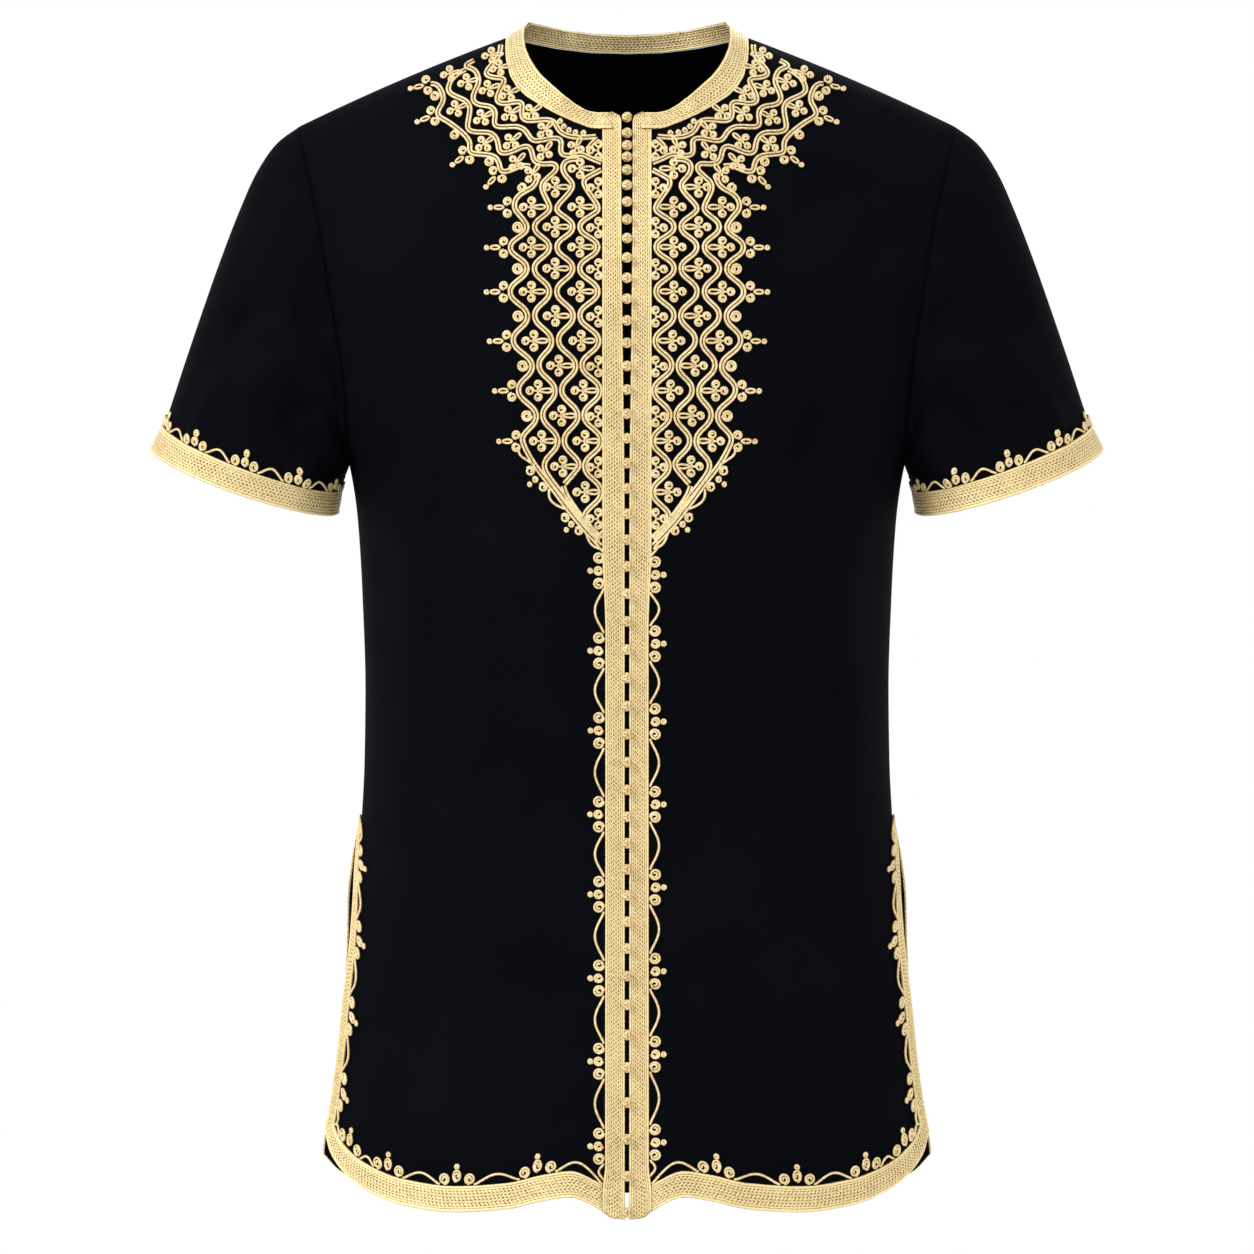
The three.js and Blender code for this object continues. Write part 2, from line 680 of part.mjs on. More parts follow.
// Flat braid: on the hem and up both slits of each front and of the back, down each front edge,
// and round each cuff.
const braid = (sheet, cells) => wall(sheet, cells, TRIM_LIFT, TRIM_LIFT + BRAID_WALL, BRAID_INSET);
fronts.forEach((sheet, n) =>
  add(
    "hem_braid_front_" + HANDS[n].name,
    braid(sheet, [...cellsOf(0, 1, STRAIGHT.length - 1, FRONT_SIDE), ...cellsOf(1, SLIT_TOP_ROW, FRONT_SIDE - 1, FRONT_SIDE)]),
    gold,
  ),
);
const lastBack = 2 * FAN.length;
add(
  "hem_braid_back",
  braid(back, [
    ...cellsOf(0, 1, 0, lastBack),
    ...cellsOf(1, SLIT_TOP_ROW, 0, 1),
    ...cellsOf(1, SLIT_TOP_ROW, lastBack - 1, lastBack),
  ]),
  gold,
);
sleeves.forEach((sheet, n) => add("cuff_braid_" + HANDS[n].name, braid(sheet, cellsOf(CUFF - 1, CUFF, 0, AROUND)), gold));

// From a point of the cloth's neck edge to the band's upper edge: up and leaning inwards.
function bandTop(point, bandX, bandZ, inwards) {
  const across = bandX - Math.abs(point.x);
  const rise = bandZ - point.z;
  const lean = Math.sqrt(Math.max(0, NECK_BAND ** 2 - across ** 2 - rise ** 2));
  return new THREE.Vector3(Math.sign(point.x) * bandX, point.y + inwards * lean, bandZ);
}
fronts.forEach((sheet, n) => {
  const { hand, name } = HANDS[n];
  const rows = sheet.rows.map((row) => [row[1].clone(), row[2].clone()]);
  const rise = rows[TOP_ROW].map((point) => bandTop(point, Math.abs(point.x), point.z + PLACKET_RISE, 1));
  add("edge_braid_" + name, braid(new Sheet([...rows, rise], false, hand), cellsOf(0, TOP_ROW + 1, 0, 1)), gold);
});

// The neck band stands on the cloth's neck edge, from one front edge braid round to the other.
const BAND_FOOT = 0.25; // how far the band keeps off the cloth's edge, besides its inset
const bandPairs = (() => {
  const frontFan = NECK_FRONT.filter((row) => row[0] >= PLACKET_OUTER);
  const half = (hand) => {
    const front = fronts[hand < 0 ? 0 : 1];
    const pairs = [];
    for (let n = 0; n < NECK_COLUMNS; n++) {
      const [, , bandX, bandZ] = topLine(frontFan, (0.5 * n) / NECK_COLUMNS);
      const foot = front.rows[TOP_ROW][STRAIGHT.length - 1 + n];
      pairs.push([foot, bandTop(foot, bandX, bandZ, 1)]);
    }
    const side = front.rows[TOP_ROW][FRONT_NECK_SIDE].clone().add(back.rows[TOP_ROW][backColumn(hand, NECK_COLUMNS)]).multiplyScalar(0.5);
    pairs.push([side, bandTop(side, NECK_FRONT[NECK_FRONT.length - 1][2], NECK_FRONT[NECK_FRONT.length - 1][3], 0)]);
    for (let n = NECK_COLUMNS - 1; n > 0; n--) {
      const [, , bandX, bandZ] = topLine(NECK_BACK, (0.5 * n) / NECK_COLUMNS);
      const foot = back.rows[TOP_ROW][backColumn(hand, n)];
      pairs.push([foot, bandTop(foot, bandX, bandZ, -1)]);
    }
    return pairs;
  };
  const middle = back.rows[TOP_ROW][BACK_MIDDLE];
  return [...half(-1), [middle, bandTop(middle, NECK_BACK[0][2], NECK_BACK[0][3], -1)], ...half(1).reverse()];
})();
const bandSheet = new Sheet(
  [
    bandPairs.map(([foot, top]) => foot.clone().addScaledVector(top.clone().sub(foot).normalize(), BAND_FOOT)),
    bandPairs.map(([, top]) => top),
  ],
  false,
  -1,
);
add("neck_band", wall(bandSheet, cellsOf(0, 1, 0, bandPairs.length - 1), -BAND_WALL / 2, BAND_WALL / 2, BRAID_INSET), gold);

// Height of the cloth under a place of the front view, on the sheet's own facets, with its normal.
function onCloth(sheet, x, z) {
  let best = null;
  for (let i = 0; i + 1 < sheet.rows.length; i++)
    for (let j = 0; j + 1 < sheet.rows[0].length; j++) {
      const at = [[i, j], [i, j + 1], [i + 1, j + 1], [i + 1, j]];
      for (const [a, b, c] of [[at[0], at[1], at[2]], [at[0], at[2], at[3]]]) {
        const [p, q, r] = [a, b, c].map(([m, n]) => sheet.rows[m][n]);
        const area = (q.x - p.x) * (r.z - p.z) - (r.x - p.x) * (q.z - p.z);
        const v = ((x - p.x) * (r.z - p.z) - (r.x - p.x) * (z - p.z)) / area;
        const w = ((q.x - p.x) * (z - p.z) - (x - p.x) * (q.z - p.z)) / area;
        const worst = Math.min(v, w, 1 - v - w);
        if (best && worst <= best.worst) continue;
        const normals = [a, b, c].map(([m, n]) => sheet.normals[m][n]);
        const mix = (list) => list[0].clone().multiplyScalar(1 - v - w).addScaledVector(list[1], v).addScaledVector(list[2], w);
        best = { worst, point: mix([p, q, r]), normal: mix(normals).normalize() };
      }
    }
  return best;
}

// A flat solid with an outline in the front view, one cord high, for manifold-3d.
function flat(outline) {
  const shape = new THREE.Shape(outline.map(([x, z]) => new THREE.Vector2(x, z)));
  const geometry = new THREE.ExtrudeGeometry(shape, { depth: CORD_HEIGHT, bevelEnabled: false });
  geometry.deleteAttribute("normal");
  geometry.deleteAttribute("uv");
  const merged = mergeVertices(geometry, 1e-4);
  return new wasm.Manifold(
    new wasm.Mesh({ numProp: 3, vertProperties: merged.attributes.position.array, triVerts: new Uint32Array(merged.index.array) }),
  );
}
// A ribbon of a pair of cords along some points of the front view.
function ribbon(points) {
  const left = [];
  const right = [];
  points.forEach((point, n) => {
    const along = points[Math.min(n + 1, points.length - 1)].clone().sub(points[Math.max(n - 1, 0)]).normalize();
    const side = new THREE.Vector2(-along.y, along.x).multiplyScalar(CORD_PAIR / 2);
    left.push([point.x + side.x, point.y + side.y]);
    right.unshift([point.x - side.x, point.y - side.y]);
  });
  return flat([...left, ...right]);
}
// A four-petal knot with its stem, the stem pointing at an angle.
function knot(x, z, angle, stem) {
  const outline = [];
  const put = (reach, turn) => {
    const at = angle + (turn * Math.PI) / 180;
    outline.push([x + reach * Math.cos(at), z + reach * Math.sin(at)]);
  };
  put(stem, -4);
  put(stem, 4);
  for (const turn of [90, 180, 270]) {
    put(PETAL_NECK, turn - 45);
    put(PETAL, turn);
  }
  put(PETAL_NECK, 315);
  return flat(outline);
}
// A finial: two coils, a bud and a ball, pointing at an angle.
function finial(x, z, angle) {
  const side = (sign) => FINIALS.map(([along, half]) => [along, sign * half]);
  return flat(
    [...side(-1), ...side(1).reverse()].map(([along, half]) => [
      x + along * Math.cos(angle) - half * Math.sin(angle),
      z + along * Math.sin(angle) + half * Math.cos(angle),
    ]),
  );
}
const inFan = (angle, distance) => {
  const turn = (angle * Math.PI) / 180;
  return [distance * Math.cos(turn), FAN_MIDDLE - distance * Math.sin(turn)];
};
const rowHeight = (row) => look(ROW, ROWS, "row", "z", row);

// The whole ornament of one side, flat, then laid on the front cloth.
function ornament(sheet, hand) {
  const pieces = [];
  WAVES.forEach(([middle, swing, first, last], line) => {
    const through = FAN_LINES.filter((row) => row[0] === line).map(([, angle, distance]) => inFan(angle, distance));
    const nodes = through.length;
    for (let row = first; row <= last; row += 0.5) through.push([middle - swing * Math.cos(Math.PI * row), rowHeight(row)]);
    const curve = new THREE.SplineCurve(through.map(([x, z]) => new THREE.Vector2(x, z)));
    pieces.push(ribbon(curve.getSpacedPoints(Math.round(curve.getLength() / CORD_STEP))));
    if (line > 0) return;
    through.slice(0, nodes).forEach(([x, z], n) => {
      const outwards = Math.atan2(z - FAN_MIDDLE, x);
      if (n % 2 === 0) pieces.push(finial(x, z, outwards));
    });
    for (let row = 1; row < last; row += 2) pieces.push(finial(middle + swing, rowHeight(row), 0));
    for (let row = 2; row < last; row += 2) {
      const corners = Array.from({ length: 6 }, (_, n) => (n * Math.PI) / 3);
      const [x, z] = [middle - swing + COIL + 1, rowHeight(row)];
      pieces.push(flat(corners.map((turn) => [x + COIL * Math.cos(turn), z + COIL * Math.sin(turn)])));
    }
  });
  for (const [x, first, last] of KNOTS)
    for (let row = first; row <= last; row += 2) pieces.push(knot(x, rowHeight(row), Math.PI, KNOT_STEM));
  for (const [angle, distance] of FAN_KNOTS) {
    const [x, z] = inFan(angle, distance);
    pieces.push(knot(x, z, Math.atan2(FAN_MIDDLE - z, -x), KNOT_STEM));
  }
  const whole = pieces.reduce((sum, piece) => sum.add(piece));
  const mesh = whole.getMesh();
  const corners = [];
  for (let v = 0; v < mesh.numVert; v++) {
    const [x, z, height] = mesh.vertProperties.slice(v * mesh.numProp, v * mesh.numProp + 3);
    const { point, normal } = onCloth(sheet, hand * x, z);
    point.addScaledVector(normal, ORNAMENT_LIFT / Math.abs(normal.y) + height);
    corners.push(point.x, point.y, point.z);
  }
  const faces = new Uint32Array(mesh.triVerts);
  if (hand < 0) for (let f = 0; f < faces.length; f += 3) [faces[f], faces[f + 1]] = [faces[f + 1], faces[f]];
  const geometry = new THREE.BufferGeometry();
  geometry.setAttribute("position", new THREE.Float32BufferAttribute(corners, 3));
  geometry.setIndex([...faces]);
  return geometry;
}
fronts.forEach((sheet, n) => add("ornament_" + HANDS[n].name, ornament(sheet, HANDS[n].hand), gold));

// Knotted ball buttons in the gap between the two edge braids, resting on both front edges, or
// above the cloth's neck edge between the braids' own ends.
const ball = BUTTON_DIA / 2;
const seat = Math.sqrt((ball + TRIM_LIFT) ** 2 - OPENING_HALF ** 2);
const neckFoot = fronts[1].rows[TOP_ROW][0];
const riseLean = Math.sqrt(NECK_BAND ** 2 - PLACKET_RISE ** 2) / PLACKET_RISE;
for (let n = 0; n < BUTTON_COUNT; n++) {
  const z = look(BUTTON, BUTTONS, "number", "z", n);
  const above = z - neckFoot.z;
  const y = above > 0 ? neckFoot.y + above * riseLean - TRIM_LIFT - BRAID_WALL / 2 : onCloth(fronts[1], OPENING_HALF + 0.01, z).point.y - seat;
  const geometry = new THREE.SphereGeometry(ball, 6, 4);
  geometry.rotateX(Math.PI / 2);
  geometry.translate(0, y, z);
  add("button_" + String(n + 1).padStart(2, "0"), geometry, gold);
}

export default tunic;
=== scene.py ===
"""A short-sleeved tunic of black cloth in its worn, hollow form, with flat gold braid, couched gold cord and
knotted ball buttons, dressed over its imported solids.

Sizes are in millimetres, as a tailor measures, and become metres where a mesh is made. Each panel of cloth is
a surface over two numbers, and everything that lies on the cloth is laid on that surface."""
import logging
import math
from collections.abc import Callable
from dataclasses import dataclass, field
from enum import Enum

import bpy
import numpy as np
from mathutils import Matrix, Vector


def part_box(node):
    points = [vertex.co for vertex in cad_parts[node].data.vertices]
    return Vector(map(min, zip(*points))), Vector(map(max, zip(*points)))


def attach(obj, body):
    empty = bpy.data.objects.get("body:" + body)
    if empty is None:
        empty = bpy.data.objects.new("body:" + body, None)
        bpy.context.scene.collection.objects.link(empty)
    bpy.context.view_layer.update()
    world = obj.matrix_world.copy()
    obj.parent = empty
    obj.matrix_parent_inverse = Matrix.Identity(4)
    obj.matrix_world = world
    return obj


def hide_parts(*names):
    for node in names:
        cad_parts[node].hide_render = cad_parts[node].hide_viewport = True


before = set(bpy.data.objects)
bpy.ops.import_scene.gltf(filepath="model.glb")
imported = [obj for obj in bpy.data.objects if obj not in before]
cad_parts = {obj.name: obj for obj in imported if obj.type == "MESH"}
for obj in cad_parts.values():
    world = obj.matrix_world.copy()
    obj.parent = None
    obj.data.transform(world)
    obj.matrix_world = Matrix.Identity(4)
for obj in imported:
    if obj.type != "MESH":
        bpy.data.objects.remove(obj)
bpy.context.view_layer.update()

log = logging.getLogger("tunic")
MM = 0.001
BODY = "root"

# Cloth, seams and trims
CLOTH_WALL = 1.4
SEAM_HALF = 0.2  # half the gap between two pieces at a seam
TRIM_LIFT = 0.3  # gap between the cloth and what lies on it
BRAID_WALL = 1.6
HEM_BRAID = 19.0  # width of the braid at hem, slits and cuffs
OPENING_HALF = 1.5
PLACKET_INNER = 3.9
PLACKET_OUTER = 17.8
PLACKET_RISE = 14.0
NECK_BAND = 15.0
BAND_WALL = 2.2
ROUNDNESS = 2.2  # exponent of the body's section across

# Body sections: height, half-width of front and back, depth of front and back from the shoulder plane,
# how pinched the side is, half the slit's gap
SECTIONS = np.array([
    [-880, 222, 223, 112, 112, 0.75, 20],
    [-810, 221, 221.6, 112, 112, 0.75, 19],
    [-770, 214.6, 214.6, 111, 111, 0.75, 18],
    [-741, 210.6, 210.6, 111, 111, 0.75, 17],
    [-697, 206, 206, 110, 110, 0.74, 15],
    [-653, 200.8, 203.6, 109, 109, 0.72, 12],
    [-624, 198.6, 202.9, 109, 108, 0.69, 9],
    [-595, 197, 199.5, 109, 106, 0.66, 4],
    [-562, 193.6, 193.6, 109, 104, 0.63, 0],
    [-520, 191.6, 191.6, 110, 101, 0.58, 0],
    [-470, 191, 191, 112, 100, 0.55, 0],
    [-405, 193, 193, 116, 101, 0.52, 0],
    [-347, 196.5, 196.5, 119, 104, 0.5, 0],
    [-307, 202.6, 202.6, 121, 108, 0.5, 0],
    [-289, 209, 209, 121.5, 110, 0.5, 0],
    [-262, 220, 220, 122, 113, 0.5, 0],
    [-224, 234, 234, 121, 117, 0.5, 0],
    [-181, 250, 250, 119, 119, 0.5, 0],
    [-152, 262, 262, 117, 119, 0.5, 0],
    [-101, 285, 285, 112, 117, 0.5, 0],
    [-60, 300, 300, 106, 115, 0.5, 0],
    [30, 305, 305, 100, 112, 0.5, 0],
])

# Shoulders
NECK_SIDE_X, NECK_SIDE_Z = 88.4, 5.2
SHOULDER_SLOPE = 0.37
SHOULDER_DROOP = 0.0004
SHOULDER_TIP = 239.0
NECK_LEVELLING = 30.0
SEAM_BACK = 5.0
# Where the cloth curves over from the shoulder line: height of the curve, and its power
FRONT_DOME = (220, 0.55)
BACK_DOME = (150, 0.5)

# Armhole: height, distance from the middle
ARMHOLES = np.array([
    [-307, 202.6], [-289, 202.5], [-262, 204], [-224, 208], [-181, 215.4],
    [-152, 219.5], [-101, 230], [-80, 235], [-60, 239],
])
UNDERARM = -307.0
ARMHOLE_STEPS = 10
SLIT_TOP = -562.0

# Neckline: distance from the middle, height, and the same two of the neck band's upper edge
NECK_FRONT = np.array([
    [1.5, -68.4, 4, -56.4], [3.9, -68.4, 6, -56.3], [17.8, -67.6, 20, -55.4], [28, -65.4, 30, -52],
    [40, -60.6, 38, -47], [52, -54.9, 46, -40.5], [63, -48.6, 53, -34], [73.2, -42, 61, -26.5],
    [80, -35.2, 66, -20], [85, -26.4, 70, -13], [88, -14.4, 73.3, -5], [88.8, -5, 74.7, 4],
    [88.4, 5.2, 74.3, 13],
])
NECK_BACK = np.array([
    [0, -2.6, 0, 10.7], [27, -2, 23.5, 11.7], [52, 0.6, 45, 14.2], [72, 3.8, 61.5, 16.8],
    [84, 5.4, 71, 17.8], [88.4, 5.2, 74.3, 13],
])

# Shirt-tail hem: distance from the middle, height
HEM_FRONT = np.array([
    [0, -850], [10, -849], [22, -841], [40, -834], [60, -837], [85, -843], [125, -846], [160, -842],
    [185, -833], [202, -821], [212, -808], [218.3, -793],
])
HEM_BACK = np.array([[0, -846], [100, -846], [160, -842], [190, -835], [210, -824], [221.6, -811]])
CORNER_FRONT = -793.0
CORNER_BACK = -811.0

# Sleeve rings from the armhole to the cuff: the outer silhouette's point, the underarm point, half the depth,
# and how far the front of the ring drops below its back
RINGS = np.array([
    [239, -59.6, 202.6, -307, 60, 0],
    [255, -71.5, 203.5, -309.5, 62, 1],
    [270, -93, 204.5, -312, 64, 2],
    [283, -122, 205.5, -314.5, 65, 3],
    [296, -156, 206.5, -317, 65, 5],
    [309, -193, 207.5, -319.5, 64, 7],
    [323, -234, 208.3, -322, 62, 9],
    [337.5, -276.5, 209, -324.5, 60, 11],
    [346.4, -295, 212, -342, 59, 11],
])
CUFF_RING = 8

# Soft folds and creases of the worn cloth: a line from one point to another, half-width, height
FOLDS_FRONT = [
    [-150, -290, -172, -545, 18, 5], [-126, -330, -148, -580, 17, -3.6], [152, -300, 170, -530, 18, 4.6],
    [124, -420, 150, -660, 18, -3.4], [-52, -600, -150, -735, 20, 3.8], [-95, -640, -178, -790, 18, -3.2],
    [60, -640, 140, -800, 20, 3.6], [110, -560, 172, -700, 18, -2.8], [-178, -235, -120, -330, 18, -2.8],
    [178, -225, 122, -345, 18, -2.8],
]
CREASES_FRONT = [
    [-184, -300, -140, -352, 13, -1.5], [-176, -330, -150, -420, 14, 1.6], [180, -304, 144, -360, 13, -1.4],
    [172, -340, 152, -430, 14, 1.5], [-206, -128, -150, -176, 13, -1.4], [208, -122, 156, -186, 13, -1.5],
    [-180, -430, -120, -468, 13, -1.2], [180, -452, 128, -486, 13, -1.3], [-40, -500, -112, -592, 12, 1.4],
    [-30, -560, -88, -640, 11, -1.2], [44, -520, 102, -604, 12, 1.3], [36, -610, 84, -690, 11, -1.2],
    [-108, -640, -132, -770, 12, 1.4], [100, -680, 118, -800, 12, 1.3], [-160, -600, -186, -700, 12, 1.2],
    [164, -610, 184, -716, 12, 1.1],
]
FOLDS_BACK = [
    [-150, -250, -160, -545, 20, 4], [150, -256, 164, -520, 21, 4], [-70, -380, -92, -800, 26, 4.5],
    [78, -420, 96, -790, 28, 4], [-24, -430, -14, -770, 22, -3], [120, -600, 168, -780, 20, -2.5],
    [-128, -560, -172, -770, 20, -2.5], [-60, -150, -150, -230, 26, -2], [62, -158, 152, -226, 26, -2],
]
CREASES_BACK = [
    [-176, -300, -132, -350, 13, 1.6], [-170, -330, -140, -400, 12, -1.3], [174, -304, 130, -352, 13, 1.6],
    [168, -336, 142, -404, 12, -1.3], [-204, -124, -140, -182, 13, -1.5], [206, -130, 138, -190, 13, -1.4],
    [-150, -430, -76, -476, 9, 1.3], [146, -440, 70, -470, 9, 1.2], [-120, -500, -40, -520, 8, -1.1],
    [110, -504, 34, -530, 8, -1.2], [-44, -560, -60, -690, 9, 1.2], [46, -540, 62, -700, 9, 1.2],
    [-140, -640, -150, -780, 9, 1.1], [136, -620, 150, -760, 9, 1.2], [-20, -120, 24, -128, 10, -0.9],
]
# Folds of the sleeve: ring, angle, rings, spread, height
FOLDS_SLEEVE = [
    [3.2, 62, 1.6, 20, -4.5], [4.6, 88, 1.8, 18, 3.2], [3.4, 112, 1.4, 16, -4], [5.4, 140, 1.6, 18, 2.6],
    [3.6, 250, 1.6, 22, -4], [5.2, 286, 1.8, 20, 3.2],
]
# Creases of the sleeve: a line from ring and angle to ring and angle, half-width, height
CREASES_SLEEVE = [
    [1.0, 96, 4.4, 58, 10, -2.8], [1.3, 118, 5.2, 76, 11, 2.6], [1.2, 136, 4.6, 108, 10, -2.4],
    [1.6, 150, 6.4, 128, 11, 2.0], [2.4, 84, 6.6, 52, 12, 1.8], [1.1, 262, 4.6, 296, 10, -2.6],
    [1.3, 240, 5.2, 276, 11, 2.4], [1.3, 222, 4.6, 246, 10, -2.2], [2.2, 210, 6.8, 224, 11, 1.8],
]
CREASE_DEPTH = 1.9  # how much deeper the creases are than their rows say
RING_STEP = 31.0  # mean distance between two rings
DEGREE_ROUND = 1.7  # millimetres round the sleeve for one degree

# Ornament of the chest, as pairs of cord, measured in the front view
CORD = 0.98  # radius of a cord of the lattice
PAIR_HALF = 1.12  # from the middle of a pair to each cord's middle
# Height of the lattice's rows, counted from the neck downwards: row, height
ROWS = np.array([
    [-2, -82], [-1, -96], [0, -109.5], [1, -124], [4, -168.4], [8, -238], [12, -310], [16, -384],
])
# Share of its upper width that the lattice keeps: height, share
NARROWING = np.array([[-400, 0.89], [-300, 0.89], [-245, 0.94], [-190, 1], [-90, 1]])
FAN_MIDDLE = -2.0
FIRST_BULGE = 81.2  # of the outer pair, at its first row


# Front edge braids, height first: half the slot between them, and their outer edge's distance from the middle
SLOT = np.array([[-860, 1.5], [-340, 1.6], [-240, 2.7], [-130, 3.8], [-60, 3.9]])
OUTER = np.array([[-860, 17.8], [-836, 17.8], [-815, 15.8], [-430, 15.6], [-368, 17.8], [-60, 17.8]])

# Motifs of the edging: the photo's rows where they stand on the front edges, distances along the front hem
EDGING_ROWS = {
    "left": [571, 651, 731, 815, 895, 979, 1062, 1147],
    "right": [575, 644, 722, 805, 888, 972, 1055, 1143],
}
ROW_ZERO, ROW_SIZE = 45, 0.73  # the photo's row at height 0, and millimetres from row to row
CAMERA_FALL = 421  # from height 0 down to the camera
NEARER = 0.982  # scale at the front edges, which stand nearer to the camera than the sides
HEM_MOTIFS = (64.0, 122.0, 172.0, 201.0)
MOTIF_SPACING = 56.0  # along the slits and the back hem
CUFF_MOTIFS = 10
FIRST_ARC, LAST_ARC = 30.0, 24.0  # what the edging runs on past its first and its last motif
ROUTE_STEP = 3.0  # between the points of an edging's route
BRAID_STEP = 2.6  # between the sections of a braid


@dataclass(frozen=True)
class WavePlan:
    """One pair of cords: round the neck, down the chest as a wave, and along the lower edge."""

    fan: tuple  # angle below level and distance from the fan's middle
    middle: float = 0.0
    swing: float = 0.0  # outwards at odd rows, inwards below 0
    first: int = 1
    last: int = 0
    end: tuple = ()  # distance from the middle and height


PLANS = [
    WavePlan(((11.7, 145), (12.3, 140.5), (15.5, 138.4), (18, 139.5), (21, 147), (24.4, 141.5), (29.5, 135.9),
              (33.3, 135), (35.8, 139.5), (38.2, 134), (41.8, 127.2), (44.8, 128.8), (46.8, 132),
              (48.7, 126.5), (50.6, 118.5), (53, 115.4))),
    WavePlan(((9.4, 118.5), (11.2, 128), (15.1, 134.2), (18, 129), (20.3, 123.8), (23, 122.8), (25.8, 126.5),
              (29.3, 131.6), (31.8, 126.5), (34, 119.5), (36.8, 117.6), (39.5, 119.8), (42, 122.9),
              (44.2, 117.5), (46.2, 107.5), (48, 104.4), (50.5, 107), (53.3, 111), (56.8, 108.5), (60, 104),
              (62, 107),
              (60.7, 115), (60.2, 123.5)),
             60.8, -5.8, 1, 12, ((56.3, -316.5), (46, -330), (35, -344), (26, -354.5), (18.6, -362))),
    WavePlan(((6.3, 111.5), (8, 119), (9.6, 112.5), (12.5, 110.3), (15.5, 111), (18, 115.5), (20.9, 119.2),
              (23.3, 116.5), (25.4, 110), (27.6, 107.4), (30, 109.5), (33, 113.8), (35.3, 109), (38.3, 101),
              (41.5, 98.1), (44.5, 99), (47.2, 100), (50, 95.5), (53, 89.5), (56.8, 86.4), (58.4, 90.5),
              (60.4, 96), (63.5, 94.5), (68.5, 89.5), (73, 90.3), (78.4, 91.5))),
    WavePlan(((0.5, 91.5), (5, 92.5), (8.5, 97.5), (12.5, 105), (15, 99.5), (17, 91.8), (20, 96.5),
              (24.8, 103.6), (27.3, 99.5), (29.3, 90.5), (31, 87.5), (34, 91.5), (37.8, 94.4), (41, 89),
              (45, 81.5), (48.5, 78.9), (51.5, 80.9), (55, 82.5), (60, 81.3), (66, 77.8), (72.4, 73.8))),
    WavePlan(((57.5, 119.5), (58, 126), (56.2, 134), (55.5, 140), (56.7, 147), (60, 150)), 77.4, 6.4, 2, 11,
             ((67, -307), (55, -323), (44, -338), (32, -353), (18.8, -367))),
    WavePlan(((68.6, 93.6), (64, 97.8), (63.3, 103.5), (66, 108.5), (70.2, 114)), 44.4, 6.1, 1, 12,
             ((44.5, -322.5),)),
    WavePlan(((79, 96.8), (75.3, 102.5), (73.3, 109)), 27.3, -6.9, 1, 14, ((26.6, -353), (18.8, -360.5))),
    WavePlan(((73.8, 75), (71.6, 79.5), (70.6, 84.8))),
    WavePlan((), end=((45.5, -324), (43.5, -330), (37, -340), (30.3, -348.8))),
]
# Single cords outside the lower edge
OUTSIDE_ARCS = [
    [(77.5, -297), (77, -301.5), (72, -305), (66, -309)],
    [(55.5, -326), (55.5, -333), (50, -338), (42, -341)],
    [(29.5, -357), (27, -364), (23.5, -367.5), (18.8, -369)],
]
# Coils and balls on the lower edge: distance from the middle, height, radius
LOWER_COILS = [
    [69.2, -313, 2.9], [60, -324.6, 2.8], [65.6, -319.3, 1.9], [69.6, -322.8, 1.5],
    [44.3, -346.6, 2.8], [34.6, -356, 2.7], [39.9, -351.4, 1.9], [43.4, -355.4, 1.5],
]
# Four-petal knots between the lines: distance from the middle, first and last row
KNOTS = [[68.6, 1, 11], [51.7, 0, 12], [33.9, -1, 13]]
# angle, distance
FAN_KNOTS = [
    [5, 98.5], [11.3, 94], [9.8, 130], [14, 119], [18.9, 105.5], [24, 93.2], [21.6, 132.5], [28.2, 118],
    [32.4, 99.3], [37.3, 86], [36.3, 127.4], [41.7, 111], [48, 88], [54, 100.8], [48.5, 119.5], [55.3, 119],
    [65, 86.6],
]
# Finials and single coils round the fan: angle, distance
FAN_FINIALS = [[11.8, 147.5], [21, 149.5], [35.8, 142], [46.6, 134.5]]
FAN_COILS = [[15.6, 144.3], [28.7, 141.8], [41.7, 132.8], [55, 131.5]]
BAND_COILS = [[50.6, 76.2], [54, 77.6], [57.4, 77.8], [61, 76.8], [65, 74.6]]


def unit(vectors: np.ndarray) -> np.ndarray:
    """The same vectors, one long.

    Args:
        vectors: an array whose last axis holds x, y, z.
    Returns:
        The vectors divided by their lengths.
    """
    return vectors / np.maximum(np.linalg.norm(vectors, axis=-1, keepdims=True), 1e-9)


def height_of_row(row: float) -> float:
    """Height on the front edges that a row of the photo shows."""
    return -(CAMERA_FALL + (row - ROW_ZERO) * ROW_SIZE * NEARER - CAMERA_FALL * NEARER)


def lerp(a: np.ndarray, b: np.ndarray, share: np.ndarray) -> np.ndarray:
    """The value a share of the way from a to b."""
    return a + (b - a) * share


